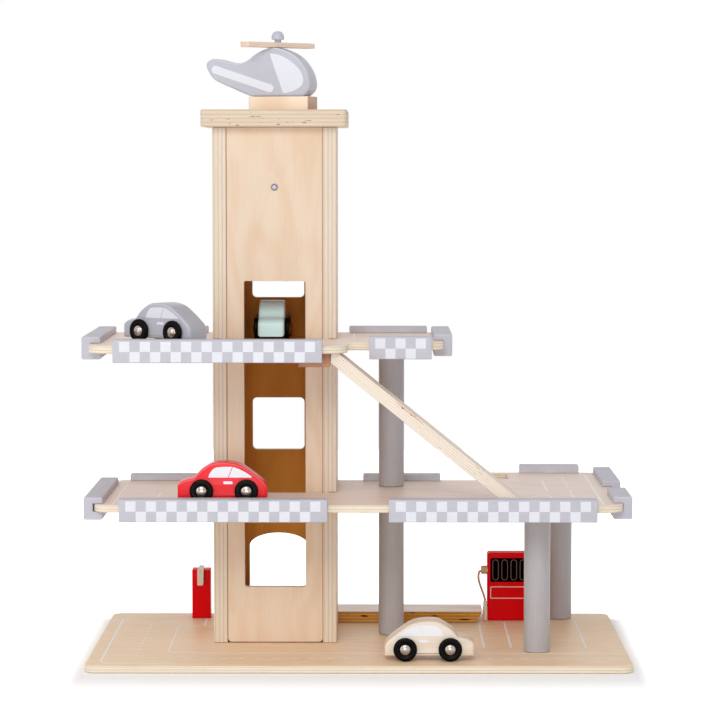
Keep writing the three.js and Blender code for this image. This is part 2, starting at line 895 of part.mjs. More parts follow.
// Winding gear: a turned axle with a flanged drum, a screw in its front end and a crank behind
const axleFront = towerFront + facePanelRecess + facePanelThickness + axlePlay;
const crankFront = towerBack + crankBehindPanel;
const axleBodyLength = crankFront - glueGap - axleFront;
const axleLength = axleBodyLength + glueGap + crankArmThickness;
const drumStart = towerCentreY - axleFront - drumWidth / 2;
const screwBoreRadius = screwDiameter / 2 + boreGap;
const axleRadius = axleDiameter / 2;
const flangeRadius = flangeDiameter / 2;
const axle = add(
  "lift_axle",
  turned(
    [
      [0, screwGrip + glueGap],
      [screwBoreRadius, screwGrip + glueGap],
      [screwBoreRadius, 0],
      [axleRadius, 0],
      [axleRadius, drumStart - flangeThickness],
      [flangeRadius, drumStart - flangeThickness],
      [flangeRadius, drumStart],
      [drumRadius, drumStart],
      [drumRadius, drumStart + drumWidth],
      [flangeRadius, drumStart + drumWidth],
      [flangeRadius, drumStart + drumWidth + flangeThickness],
      [axleRadius, drumStart + drumWidth + flangeThickness],
      [axleRadius, axleBodyLength],
      [stubDiameter / 2, axleBodyLength],
      [stubDiameter / 2, axleLength],
      [0, axleLength],
    ],
    turnedSides,
  ),
  birch,
);
axle.position.set(towerCentreX, axleFront, axleLevel);

const screwSeat = towerFront + facePanelRecess - glueGap;
const screwEnd = axleFront + screwGrip - screwSeat;
const screwHeadRadius = screwHeadDiameter / 2;
const screw = add(
  "axle_screw",
  turned(
    [
      [0, -screwHeadHeight],
      [screwHeadRadius * 0.62, -screwHeadHeight * 0.86],
      [screwHeadRadius * 0.9, -screwHeadHeight * 0.45],
      [screwHeadRadius, 0],
      [screwDiameter / 2, 0],
      [screwDiameter / 2, screwEnd],
      [0, screwEnd],
    ],
    turnedSides,
  ),
  steel,
  garage,
  0.3,
  1,
);
screw.position.set(towerCentreX, screwSeat, axleLevel);

function crankHandle() {
  const half = crankArmWidth / 2;
  const shape = new THREE.Shape();
  shape.absarc(0, 0, half, 0, Math.PI, false);
  shape.absarc(0, -crankThrow, half, Math.PI, 2 * Math.PI, false);
  shape.holes.push(circleHole(0, 0, stubDiameter / 2 + boreGap, turnedSides));
  const bar = standingBoard(shape, crankArmThickness, crankArmEdge, 2 * arcSegments);
  const sink = crankArmThickness / 2;
  const knob = turned(
    [
      [0, 0],
      [knobNeckDiameter / 2, 0],
      [knobNeckDiameter / 2, sink + knobRound],
      [knobDiameter / 2, sink + 2 * knobRound],
      [knobDiameter / 2, sink + knobLength - knobRound],
      [knobDiameter / 2 - knobRound, sink + knobLength],
      [0, sink + knobLength],
    ],
    turnedSides,
  );
  return join(bar, knob.translate(0, 0, -crankThrow));
}

const crank = add("crank_handle", crankHandle(), red, garage, 0.4);
crank.position.set(towerCentreX, crankFront + crankArmThickness / 2, axleLevel);

// Helicopter on its stand, turned on the roof
const heliForward = new THREE.Vector3(Math.cos(heliYaw), Math.sin(heliYaw), 0);
const heli = new THREE.Group();
garage.add(heli);
heli.rotation.z = heliYaw;
const heliY = towerCentreY - standAhead * heliForward.y;
heli.position.set(heliX, heliY, roofTop + glueGap);

const stand = add(
  "helicopter_stand",
  board(centredRectangle(standLength, standWidth, standRound), standHeight, standEdge),
  birch,
  heli,
);
stand.position.x = standAhead;

function splinePoints(shares, length, height, count) {
  const curve = new THREE.SplineCurve(
    shares.map(([x, z]) => new THREE.Vector2(x * length, z * height)),
  );
  return curve.getSpacedPoints(count);
}

const heliPegX = (rotorPegShare - 0.5) * heliLength;

function helicopterBody() {
  const outline = splinePoints(heliTopShares, heliLength, heliHeight, heliSplinePoints);
  for (const [x, z] of heliTailShares) {
    outline.push(new THREE.Vector2(x * heliLength, z * heliHeight));
  }
  const shape = new THREE.Shape(outline);
  const body = standingBoard(shape, heliWidth, heliEdge, arcSegments, 2);
  body.translate(-heliLength / 2, 0, 0);
  const radius = rotorPegDiameter / 2 + glueGap;
  const depth = rotorPegSeat + glueGap;
  const bore = new THREE.CylinderGeometry(radius, radius, depth + cutOverrun, heliBoreSides);
  upright(bore).translate(heliPegX, 0, heliHeight + (cutOverrun - depth) / 2);
  return cut(body, bore);
}

const heliLevel = standHeight + glueGap;
const heliBody = add("helicopter_body", helicopterBody(), paintGrey, heli);
heliBody.position.z = heliLevel;

const rotorShape = centredRectangle(rotorLength, rotorWidth, rotorEdge * 3);
rotorShape.holes.push(circleHole(0, 0, rotorPegDiameter / 2 + boreGap, smallSides));
const rotor = add("helicopter_rotor", board(rotorShape, rotorThickness, rotorEdge), birch, heli);
rotor.rotation.z = rotorYaw - heliYaw;
rotor.position.set(heliPegX, 0, heliLevel + heliHeight + glueGap);

const pegStem = rotorPegSeat + glueGap + rotorThickness + rotorPegPlay;
const capRadius = rotorPegCapDiameter / 2;
const rotorPeg = add(
  "rotor_peg",
  upright(
    turned(
      [
        [0, 0],
        [rotorPegDiameter / 2, 0],
        [rotorPegDiameter / 2, pegStem],
        [capRadius * 0.9, pegStem],
        [capRadius, pegStem + rotorPegCapHeight * 0.22],
        [capRadius * 0.93, pegStem + rotorPegCapHeight * 0.55],
        [capRadius * 0.65, pegStem + rotorPegCapHeight * 0.86],
        [0, pegStem + rotorPegCapHeight],
      ],
      turnedSides,
    ),
  ),
  paintGrey,
  heli,
);
rotorPeg.position.set(heliPegX, 0, heliLevel + heliHeight - rotorPegSeat);

// Cars: a body cut from one board, and two wheelsets, each a pair of wheels on a turned axle
const axleRise = wheelDiameter / 2 - carGroundGap;

function carBody() {
  const roofLine = splinePoints(carOutlineShares, carLength, carBodyHeight, carSplinePoints);
  const outline = [new THREE.Vector2(0, 0), new THREE.Vector2(carLength, 0), ...roofLine];
  const block = standingBoard(new THREE.Shape(outline), carBodyWidth, carEdge, arcSegments, 2);
  const radius = carAxleDiameter / 2 + boreGap;
  return [rearOverhang, rearOverhang + wheelbase].reduce((body, x) => {
    const bore = new THREE.CylinderGeometry(
      radius,
      radius,
      carBodyWidth + 2 * cutOverrun,
      smallSides,
    );
    return cut(body, bore.translate(x, 0, axleRise));
  }, block);
}

function wheelset() {
  const outer = carWidth / 2 - hubDome;
  const inner = carBodyWidth / 2 + boreGap;
  const wheel = wheelDiameter / 2;
  const hub = hubDiameter / 2;
  const side = [
    [0, outer + hubDome],
    [hub * 0.6, outer + hubDome * 0.7],
    [hub, outer - hubRecess],
    [wheel - wheelRound, outer],
    [wheel, outer - wheelRound],
    [wheel, inner + wheelRound],
    [wheel - wheelRound, inner],
    [carAxleDiameter / 2, inner],
  ];
  const near = side.map(([r, y]) => [r, -y]);
  return turned([...near, ...side.reverse()], wheelSides);
}

function addCar(name, color, x, y, level, yaw, parent = garage) {
  const car = new THREE.Group();
  parent.add(car);
  car.position.set(x, y, level);
  car.rotation.z = yaw;
  const body = add(name + "_body", carBody(), color, car, 0.5);
  body.position.set(-carLength / 2, 0, carGroundGap);
  const wheelsX = rearOverhang - carLength / 2;
  const rear = add(name + "_rear_wheels", wheelset(), black, car, 0.5);
  rear.position.set(wheelsX, 0, wheelDiameter / 2);
  const ahead = add(name + "_front_wheels", wheelset(), black, car, 0.5);
  ahead.position.set(wheelsX + wheelbase, 0, wheelDiameter / 2);
}

addCar("wood_car", birch, woodCarX, woodCarY, baseThickness + glueGap, 0);
addCar("red_car", red, redCarX, redCarY, lowerDeckLevel + glueGap, Math.PI);
addCar("grey_car", carGrey, greyCarX, greyCarY, upperDeckLevel + glueGap, greyCarYaw);
addCar("mint_car", mint, mintCarX, mintCarAhead, glueGap, -quarter, lift);

export default garage;
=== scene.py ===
import json
import math

import bmesh
import bpy
from bpy.props import FloatProperty, FloatVectorProperty, IntProperty, PointerProperty
from mathutils import Matrix, Vector

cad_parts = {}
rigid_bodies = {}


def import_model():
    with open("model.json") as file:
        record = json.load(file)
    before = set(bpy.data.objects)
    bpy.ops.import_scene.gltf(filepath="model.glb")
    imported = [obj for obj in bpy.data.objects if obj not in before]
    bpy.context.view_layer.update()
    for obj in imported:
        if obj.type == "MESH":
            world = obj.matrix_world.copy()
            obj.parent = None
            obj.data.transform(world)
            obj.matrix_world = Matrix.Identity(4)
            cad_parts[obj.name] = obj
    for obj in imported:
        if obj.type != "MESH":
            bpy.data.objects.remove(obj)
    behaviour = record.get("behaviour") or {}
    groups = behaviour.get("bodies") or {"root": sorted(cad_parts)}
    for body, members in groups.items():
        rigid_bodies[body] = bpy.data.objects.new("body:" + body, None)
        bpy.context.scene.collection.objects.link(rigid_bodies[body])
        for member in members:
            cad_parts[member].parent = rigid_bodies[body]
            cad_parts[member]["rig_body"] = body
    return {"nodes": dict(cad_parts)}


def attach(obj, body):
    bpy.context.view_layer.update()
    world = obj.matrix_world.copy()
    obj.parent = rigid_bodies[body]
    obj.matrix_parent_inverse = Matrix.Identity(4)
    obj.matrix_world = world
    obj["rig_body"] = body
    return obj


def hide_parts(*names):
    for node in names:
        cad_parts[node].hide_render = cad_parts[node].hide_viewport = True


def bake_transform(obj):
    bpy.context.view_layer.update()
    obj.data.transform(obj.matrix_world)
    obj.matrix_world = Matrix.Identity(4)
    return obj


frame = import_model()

bl_info = {
    "name": "Toy parking garage with lift",
    "version": (1, 0, 0),
    "blender": (4, 5, 0),
    "location": "3D View > Sidebar > Garage",
    "description": "Dresses a wooden toy parking garage with its boards, paints and printed markings",
    "category": "Object",
}

# Lengths below are in millimetres, X runs right, Y runs to the back and Z runs up. An opening or a
# print is given as its left, bottom, right and top, a small board as its length, width and thickness.
MM = 0.001

# Boards
BASE_LENGTH = 575
BASE_DEPTH = 329
BASE_THICKNESS = 8
BASE_CORNER = 12
DECK_THICKNESS = 8
DECK_FRONT = -140
DECK_BACK = 84
DECK_CORNER = 20
LOWER_LEVEL = 173.6
LOWER_LEFT = -280
LOWER_RIGHT = 278.5
BAY_LEFT = 138
BAY_BACK = 160
UPPER_LEVEL = 340.8
UPPER_LEFT = -284
UPPER_RIGHT = 90
WING_FRONT = -88
NOSE_X = -12
SLOT = (148.5, 92, 168.5, 144)
ON_BASE = 8.3
ON_LOWER_DECK = 173.9
ON_UPPER_DECK = 341.1
RAMP_SLOPE = 38.95

# Tower
TOWER_X = -91.9
TOWER_Y = 30.35
NOTCH_HALF = 59.8
NOTCH_FRONT = -30.95
PANEL_FOOT = 9.1
PANEL_TOP = 569.5
PANEL_WIDTH = 103.4
PANEL_THICKNESS = 9
FRONT_PANEL_Y = -25.15
BACK_PANEL_Y = 85.85
DOOR = (-33.25, 69.8, 33.25, 403.7)
WINDOW_SILLS = (208.7, 380.4)
WINDOW_WIDTH = 58.3
WINDOW_HEIGHT = 58.6
ARCH_WIDTH = 66
ARCH_SPRING = 98.8
ARCH_RISE = 15
AXLE_LEVEL = 505.1
SCREW_BORE = 2.1
AXLE_BORE = 7.35
ROOF = (158, 146, 18.8)
ROOF_UNDERSIDE = 569.8

# Edge rails: length, the side they face, place, the deck's level and their rise above it
RAILS = {
    "lower_front_left_rail": (218, "front", -142, DECK_FRONT, LOWER_LEVEL, 7),
    "lower_front_right_rail": (218, "front", 140.4, DECK_FRONT, LOWER_LEVEL, 7),
    "upper_front_left_rail": (218, "front", -147.4, DECK_FRONT, UPPER_LEVEL, 7),
    "upper_front_right_rail": (66.2, "front", 43.9, WING_FRONT, UPPER_LEVEL, 7),
    "lower_left_end_rail": (180, "left", LOWER_LEFT, -40, LOWER_LEVEL, 7),
    "upper_left_end_rail": (180, "left", UPPER_LEFT, -10, UPPER_LEVEL, 7),
    "lower_right_end_rail_back": (134, "right", LOWER_RIGHT, 87.5, LOWER_LEVEL, 7),
    "lower_right_end_rail_front": (81, "right", LOWER_RIGHT, -80.5, LOWER_LEVEL, 7),
    "upper_right_end_rail": (134, "right", UPPER_RIGHT, 17, UPPER_LEVEL, 7),
    "lower_back_left_rail": (87, "back", -215.5, DECK_BACK, LOWER_LEVEL, 7),
    "lower_back_middle_rail": (87, "back", 47, DECK_BACK, LOWER_LEVEL, 7),
    "lower_back_right_rail": (68, "back", 218, BAY_BACK, LOWER_LEVEL, 8.8),
    "upper_back_left_rail": (87, "back", -214.5, DECK_BACK, UPPER_LEVEL, 7),
    "upper_back_right_rail": (87, "back", 31.5, DECK_BACK, UPPER_LEVEL, 7),
}
FACING = {"right": 0, "back": 90, "left": 180, "front": 270}
RAIL_WIDTH = 20
RAIL_GROOVE = 10
RAIL_BELOW = 9
GROOVE_PLAY = 0.3
CHECKER_DROP = 0.5
SHORT_RAIL_COLUMNS = 5

# Columns: place, and the levels between which they stand
COLUMNS = {
    "middle_column_lower": (35, 30, ON_BASE, 165.3),
    "middle_column_upper": (35, 30, ON_LOWER_DECK, 332.5),
    "front_right_column": (190.8, -77, ON_BASE, 165.3),
    "back_right_column": (229, 133, ON_BASE, 165.3),
}
COLUMN_RADIUS = 14

# Marks in the ramps' front edges: middle, length and height, and how many degrees they slope
LOOSE_RAMP_SLITS = ((4.6, 16.0, 9.8, 2.2, 0), (85.3, 16.3, 8.0, 1.2, 0), (118.8, 12.0, 14.0, 1.6, 0))
UPPER_RAMP_STREAK = ((53.0, 269.9, 42.0, 1.1, -39),)
LOOSE_RAMP_FRONT = 97
UPPER_RAMP_FRONT = -129.7
UPPER_RAMP_KNOTS = ((45.8, 274.9, 2.6, 1.3, -39), (54.6, 267.8, 1.8, 0.9, -39))

# Fuel pump
PUMP = (145.3, ON_BASE, 196, 86.3)
PUMP_FRONT = 113.5
PUMP_DEPTH = 20
DISPLAY = (148.9, 52.7, 194.8, 80.2)
PLATE = (148.8, 33.4, 195.4, 47.5)
PLATE_LINE = 1
FIRST_ZERO = (154.8, 66.6)
ZERO_PITCH = 10.4
ZERO_WIDTH = 6.4
ZERO_HEIGHT = 23.2
PEG_END = (138.2, 118.6, 66)
NOZZLE_FOOT = (142.8, 112.6, ON_BASE)
HOSE_ROUTE = (
    (137.9, 116.0, 64.8), (136.4, 115.6, 64.2), (135.3, 115.0, 60.2), (135.6, 114.4, 55.0),
    (137.4, 113.8, 48.5), (140.0, 113.2, 41.5), (142.0, 112.8, 35.6), (142.8, 112.6, 31.4),
)

# Barrier
POST_X = -182.9
POST_WIDTH = 21.3
POST_DEPTH = 21
POST_HEIGHT = 56
POST_SLOT_WIDTH = 6.6
POST_SLOT_DEPTH = 15.1
PIVOT = (-182.9, 137.5, 58.8)
PIN_LENGTH = 20.3
ARM_HEIGHT = 18.6
ARM_THICKNESS = 5.8
ARM_REACH = 34.5

# Lift and its winding gear
CORD_X = -81.6
CABIN_FLOOR = 331.2
KNOT_LEVEL = 402.0
AXLE_FRONT = -20.15
DRUM_RADIUS = 9
DRUM_WIDTH = 26
SHAFT_RADIUS = 7
FLANGE_RADIUS = 17
FLANGE_WIDTH = 4
SCREW_HOLE = (2.15, 14.3)
CRANK_FRONT = 93.75
CRANK_PLAY = 0.3
CRANK_THROW = 44
CRANK_THICKNESS = 8
CRANK_END = 8
CRANK_Y = 97.75
SCREW_SEAT = -29.95

# Helicopter: place and heading, and the rest in its own frame, where X runs ahead and Z up
HELI_PLACE = (-108, 37.13, 588.9)
HELI_YAW = -16
STAND_AHEAD = 24.6
STAND_TOP = 15.1
STAND = (68.7, 35, 14.8)
HELI_LENGTH = 120
HELI_HEIGHT = 52.8
HELI_WIDTH = 28.5
ROTOR_YAW = 40
ROTOR = (94, 15, 5.6)
ROTOR_PLAY = 0.3
ROTOR_PEG_X = 18.72
PEG_DEPTH = 14
HELI_OUTLINE = (
    (0.932, 0), (0.985, 0.11), (1, 0.27), (0.973, 0.5), (0.898, 0.75), (0.794, 0.913),
    (0.67, 1), (0.573, 0.975), (0.473, 0.87), (0.398, 0.745), (0.32, 0.69), (0.223, 0.71),
    (0.085, 0.785), (0.022, 0.745), (0, 0.66),
    (0.02, 0.52), (0.085, 0.34), (0.255, 0.165), (0.43, 0),
)
HELI_WINDOW = (
    (73.6, 46.8), (83.6, 45.1), (92.9, 41.1), (101.1, 35.4), (107.5, 29.3), (111.5, 22.1),
    (112.2, 16.0), (109.8, 11.1), (104.5, 7.2), (97.5, 4.5), (89.3, 3.2),
)
HELI_STRIPE = (Vector((11.1, 29.3)), Vector((73.7, 8.7)))
STRIPE_WIDTH = 8.7

# Cars: place and heading; their outlines start at the rear bumper and at the body's underside
CAR_LENGTH = 94.6
CAR_HEIGHT = 37.6
CAR_WIDTH = 28.8
CAR_OVER_WHEELS = 41.6
CAR_GAP = 4.9
WHEEL_RADIUS = 12.5
WHEEL_PLAY = 0.35
HUB_RISE = 1.6
ROD_RADIUS = 2.5
ROD_REACH = 17
REAR_AXLE = 21.8
WHEELBASE = 47.4
AXLES = {"rear": REAR_AXLE, "front": REAR_AXLE + WHEELBASE}
CARS = {
    "wood_car": (74.3, -123, ON_BASE, 0),
    "red_car": (-144.2, -107, ON_LOWER_DECK, 180),
    "grey_car": (-206.2, -88, ON_UPPER_DECK, 142.5),
    "mint_car": (-96.5, 31.75, 337.5, -90),
}
CAR_OUTLINE = (
    (1, 0.31), (0.995, 0.38), (0.952, 0.465), (0.886, 0.52), (0.819, 0.563), (0.752, 0.746),
    (0.663, 0.9), (0.586, 0.982), (0.474, 1), (0.374, 0.972), (0.286, 0.9), (0.174, 0.718),
    (0.04, 0.45), (0, 0.29),
)
FRONT_WINDOW = [
    (41.2, 21.8), (61.8, 21.8), (61.2, 24.3), (59.4, 27.7), (56.2, 31.2), (52.8, 32.7),
    (45, 33.2), (36.7, 33.1),
]
REAR_WINDOW = [
    (16.8, 21.8), (40.4, 21.8), (35.9, 33.0), (29.5, 30.8), (22.6, 27.4), (16.2, 23), (16.0, 22.2),
]
DOOR_HANDLE = (36.2, 14.8, 46.3, 17.8)

# Prints are thin boards, half of their thickness inside the piece
PRINT_THICKNESS = 0.12

# Stage, in metres: where the lamps stand, their watts and how wide they are
CAMERA_PLACE = (0.017775, -2.94942, 0.53746)
CAMERA_TURN = (math.pi / 2 - 0.0750, 0, 0.0059)
CAMERA_LENS = 135
AIM = (0, 0, 0.25)
LAMPS = {
    "Window lamp": ((-2.0, -1.4, 0.9), 7, 1.2),
    "Front lamp": ((-0.4, -3.0, 2.15), 36, 1.4),
    "Camera lamp": ((-0.1, -3.4, 0.2), 14, 0.8),
    "Ceiling lamp": ((0.1, 0.2, 3.6), 3, 2.0),
}
WORLD_STRENGTH = 0.53
FLOOR_LEVEL = -0.0003
FLOOR_CORNERS = ((-2.6, -2.6), (2.6, -2.6), (2.6, 2.0), (-2.6, 2.0))

# The floor glows white towards the camera beyond this reach in front of the base, and sooner elsewhere;
# nearer the base the glow is dimmed, a painted shadow round the base
PAINTED_SHADOW_REACH = 0.24
PAINTED_SHADOW_REACH_BEHIND = 0.04
SOONER_AT_SIDES = 7

# What a user may change: lengths in millimetres, counts, and colours as they show on screen


def tint(red, green, blue):
    """A colour read as it shows on screen, as the linear colour that a shader takes."""
    shares = (c / 255 for c in (red, green, blue))
    return tuple(c / 12.92 if c <= 0.04045 else ((c + 0.055) / 1.055) ** 2.4 for c in shares)


def length(name, default, description):
    return FloatProperty(
        name=name, description=description, default=default * MM, min=0, precision=5,
        unit="LENGTH", subtype="DISTANCE",
    )


def count(name, default, description):
    return IntProperty(name=name, description=description, default=default, min=1)


def colour(name, red, green, blue, description):
    return FloatVectorProperty(
        name=name, description=description, default=tint(red, green, blue), size=3, min=0, max=1,
        subtype="COLOR",
    )


class GarageSizes(bpy.types.PropertyGroup):
    """Sizes of the finish that a user may change; the boards themselves keep the frame's sizes."""

    board_easing: length("Board easing", 0.8, "Rounding along the edges of the decks and panels")
    rail_rounding: length("Rail rounding", 1.6, "Rounding along the edge rails")
    ply_thickness: length("Ply thickness", 1.5, "Thickness of one ply in the plywood boards")
    line_width: length("Line width", 2.5, "Width of the printed road lines")
    print_relief: length("Print relief", 0.06, "How far a print stands proud of its board")
    dash_length: length("Dash length", 7.4, "Length of a dash in the printed lanes")
    dash_pitch: length("Dash pitch", 18.8, "Distance between two dashes in the printed lanes")
    checker_square: length("Checker square", 10.73, "Side of a square on the edge rails")
    cord_thickness: length("Cord thickness", 2, "Diameter of the lift cord")
    hose_thickness: length("Hose thickness", 2.6, "Diameter of the pump's cord hose")
    checker_columns: count("Checker columns", 19, "Squares along a long edge rail")
    cord_turns: count("Cord turns", 7, "Turns of the lift cord wound on the drum")


class GarageColours(bpy.types.PropertyGroup):
    """Colours of the woods, paints and prints, and the tint of the painted shade inside the tower."""

    birch: colour("Birch", 230, 208, 184, "Face of the birch boards")
    birch_grain: colour("Birch grain", 221, 184, 148, "Darker streaks in the birch face")
    pale_ply: colour("Pale ply", 242, 229, 209, "Pale plies along a board's edge")
    dark_ply: colour("Dark ply", 216, 191, 160, "Dark plies along a board's edge")
    pale_wood: colour("Pale wood", 244, 233, 220, "Wood of the plain car, the nozzle and the lift's axle")
    stained_wood: colour("Reddish brown wood", 190, 133, 98, "Reddish wood of the block under the ramp")
    rail_grey: colour("Rail grey", 201, 200, 210, "Paint of the edge rails")
    rail_white: colour("Rail white", 232, 232, 240, "Pale squares on the edge rails")
    column_grey: colour("Column grey", 191, 188, 191, "Paint of the columns")
    red: colour("Red", 240, 8, 18, "Red paint of the pump, the post and the crank")
    car_red: colour("Car red", 255, 44, 54, "Paint of the red car")
    deck_birch: colour("Deck birch", 241, 221, 208, "Upper faces of the two decks")
    deck_grain: colour("Deck grain", 230, 204, 188, "Darker streaks in the decks")
    # Painted shade: this tint darkens the faces inside the tower and the lift
    inside_painted_shade: colour("Inside painted shade", 244, 188, 96, "Tint over the faces inside the tower")
    base_birch: colour("Base birch", 249, 221, 186, "Upper face of the base")
    base_grain: colour("Base grain", 234, 196, 154, "Darker streaks in the base")
    peg_tan: colour("Peg tan", 214, 154, 92, "Wood of the pump's peg")
    # Lighter than the car's own paint: painted light that makes up for the shade inside the lift
    hose_tan: colour("Hose tan", 222, 178, 150, "Cord of the pump")
    mint: colour("Mint", 226, 255, 255, "Paint of the car in the lift")
    car_grey: colour("Car grey", 186, 186, 196, "Paint of the grey car")
    helicopter_grey: colour("Helicopter grey", 199, 201, 213, "Paint of the helicopter and its peg")
    window_white: colour("Window white", 243, 244, 250, "Printed windows of the cars")
    road_white: colour("Road white", 253, 248, 242, "Printed road lines")
    wheel_black: colour("Wheel black", 6, 4, 4, "Wheels of the cars")
    hub_bronze: colour("Hub bronze", 186, 174, 166, "Domed metal hub caps")
    steel: colour("Steel", 150, 150, 156, "Screw and pivot pin")
    cord_white: colour("Cord white", 236, 231, 220, "Cord of the lift")
    floor_white: colour("Floor white", 250, 250, 250, "Floor of the stage")


def titled(name):
    return name.replace("_", " ").capitalize()


def sizes():
    return bpy.context.scene.garage_sizes


def colours():
    return bpy.context.scene.garage_colours


# Outlines, as lists of points in millimetres


def arc(x, y, radius, start, end, steps=8):
    turns = [math.radians(start + (end - start) * i / steps) for i in range(steps + 1)]
    return [(x + radius * math.cos(a), y + radius * math.sin(a)) for a in turns]


def circle(radius, steps, x=0, y=0):
    return arc(x, y, radius, 0, 360, steps)[:-1]


def corner(x, y, radius, start, steps=8):
    """An outline's corner at this point, rounded off by a quarter turn from the start angle."""
    right, up = {180: (1, 1), 270: (-1, 1), 0: (-1, -1), 90: (1, -1)}[start]
    return arc(x + right * radius, y + up * radius, radius, start, start + 90, steps)


def rectangle(left, bottom, right, top, radius=0.0, steps=8):
    corners = ((left, bottom, 180), (right, bottom, 270), (right, top, 0), (left, top, 90))
    if radius <= 0:
        return [(x, y) for x, y, _ in corners]
    return [point for x, y, start in corners for point in corner(x, y, radius, start, steps)]


def centred(long, wide, radius=0.0, steps=8):
    return rectangle(-long / 2, -wide / 2, long / 2, wide / 2, radius, steps)


def spline(points, steps=8):
    """A smooth line through the points, evenly stepped between each two of them."""
    line = [Vector(p) for p in points]
    ends = [line[0], *line, line[-1]]
    smooth = []
    for i in range(len(line) - 1):
        a, b, c, d = ends[i : i + 4]
        for step in range(steps):
            t = step / steps
            v0, v1 = (c - a) / 2, (d - b) / 2
            cubic, square = 2 * b - 2 * c + v0 + v1, 3 * c - 3 * b - 2 * v0 - v1
            smooth.append(cubic * t**3 + square * t**2 + v0 * t + b)
    return [tuple(p) for p in (*smooth, line[-1])]


def rounded(points, radius, steps=4):
    """An open line with each inner corner rounded off."""
    line = [Vector(p) for p in points]
    soft = [tuple(line[0])]
    for before, here, after in zip(line, line[1:], line[2:]):
        reach = min(radius, (before - here).length / 2.05, (after - here).length / 2.05)
        start = here + (before - here).normalized() * reach
        end = here + (after - here).normalized() * reach
        for step in range(steps + 1):
            t = step / steps
            soft.append(tuple(start * (1 - t) ** 2 + here * 2 * t * (1 - t) + end * t**2))
    return [*soft, tuple(line[-1])]


def stripe(points, width):
    """The outline of a line of even width along the points."""
    line = [Vector(p) for p in points]
    left, right = [], []
    for i, here in enumerate(line):
        before = (here - line[i - 1]).normalized() if i else None
        after = (line[i + 1] - here).normalized() if i + 1 < len(line) else None
        along = ((before or after) + (after or before)).normalized()
        across = Vector((-along.y, along.x)) * width / 2
        if before and after:
            across /= max(0.5, along.dot(after))
        left.append(tuple(here + across))
        right.append(tuple(here - across))
    return right + left[::-1]


# Meshes, in millimetres until they are placed


def put(name, data):
    """A new object in the scene."""
    made = bpy.data.objects.new(name, data)
    bpy.context.scene.collection.objects.link(made)
    return made


def plain_mesh(holder):
    """The evaluated object as a mesh of its own; the object that made it goes."""
    depsgraph = bpy.context.evaluated_depsgraph_get()
    made = bpy.data.meshes.new_from_object(holder.evaluated_get(depsgraph), depsgraph=depsgraph)
    bpy.data.objects.remove(holder)
    return made


def mesh_of(shape, made=None):
    """What a bmesh holds, as a mesh; the bmesh goes."""
    made = made or bpy.data.meshes.new("made")
    shape.to_mesh(made)
    shape.free()
    return made


def board(outlines, thickness, edge=0.0, edge_steps=3):
    """A board cut to its first outline, with the others as holes, centred on its thickness."""
    curve = bpy.data.curves.new("board", "CURVE")
    curve.dimensions = "2D"
    curve.fill_mode = "BOTH"
    curve.extrude = thickness / 2 - edge
    curve.bevel_depth = edge
    curve.bevel_resolution = edge_steps
    curve.offset = -edge
    for outline in outlines:
        points = [p for p, q in zip(outline, outline[1:] + outline[:1]) if math.dist(p, q) > 1e-4]
        line = curve.splines.new("POLY")
        line.points.add(len(points) - 1)
        line.use_cyclic_u = True
        for point, (x, y) in zip(line.points, points):
            point.co = (x, y, 0, 1)
    mesh = plain_mesh(put("board", curve))
    bpy.data.curves.remove(curve)
    return mesh


def turned(profile, sides=56):
    """A piece turned about Z from pairs of radius and height."""
    shape = bmesh.new()
    rings = []
    for radius, height in profile:
        turns = [2 * math.pi * i / sides for i in range(sides if radius > 1e-6 else 1)]
        places = [(radius * math.cos(a), radius * math.sin(a), height) for a in turns]
        rings.append([shape.verts.new(place) for place in places])
    for low, high in zip(rings, rings[1:]):
        for i in range(sides):
            corners = [low[i % len(low)], low[(i + 1) % len(low)]]
            corners += [high[(i + 1) % len(high)], high[i % len(high)]]
            corners = list(dict.fromkeys(corners))
            if len(corners) > 2:
                shape.faces.new(corners)
    return mesh_of(shape)


def tube(points, radius, sides=12):
    """A cord along the points, closed at both ends, with the way along it and around it as UVs."""
    line = [Vector(p) for p in points]
    shape = bmesh.new()
    uv = shape.loops.layers.uv.new("UVMap")
    along, travelled, rings = [], 0.0, []
    side = None
    for i, here in enumerate(line):
        way = (line[min(i + 1, len(line) - 1)] - line[max(i - 1, 0)]).normalized()
        side = side or way.orthogonal().normalized()
        side = (side - way * side.dot(way)).normalized()
        other = way.cross(side)
        travelled += (here - line[i - 1]).length if i else 0.0
        along.append(travelled)
        turns = [2 * math.pi * k / sides for k in range(sides)]
        spokes = [side * math.cos(a) + other * math.sin(a) for a in turns]
        rings.append([shape.verts.new(here + spoke * radius) for spoke in spokes])
    for i, (low, high) in enumerate(zip(rings, rings[1:])):
        for k in range(sides):
            face = shape.faces.new((low[k], low[(k + 1) % sides], high[(k + 1) % sides], high[k]))
            places = ((k, i), (k + 1, i), (k + 1, i + 1), (k, i + 1))
            for loop, (around, step) in zip(face.loops, places):
                loop[uv].uv = (around / sides, along[step])
    shape.faces.new(rings[0][::-1])
    shape.faces.new(rings[-1])
    return mesh_of(shape)


def joined(meshes):
    """Several meshes as one, with their places kept."""
    shape = bmesh.new()
    for mesh in meshes:
        shape.from_mesh(mesh)
    return mesh_of(shape)


def at(x, y, z, yaw=0.0):
    return Matrix.Translation((x, y, z)) @ Matrix.Rotation(math.radians(yaw), 4, "Z")


STANDING = Matrix.Rotation(math.pi / 2, 4, "X")
TO_THE_BACK = Matrix.Rotation(-math.pi / 2, 4, "X")
TO_THE_RIGHT = Matrix.Rotation(math.pi / 2, 4, "Y")


def smoothed(mesh, sharp):
    mesh.shade_smooth()
    mesh.set_sharp_from_angle(angle=math.radians(sharp))


def body_of(node):
    return frame["nodes"][node]["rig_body"]


def dress(mesh, finish):
    mesh.materials.clear()
    mesh.materials.append(finish)


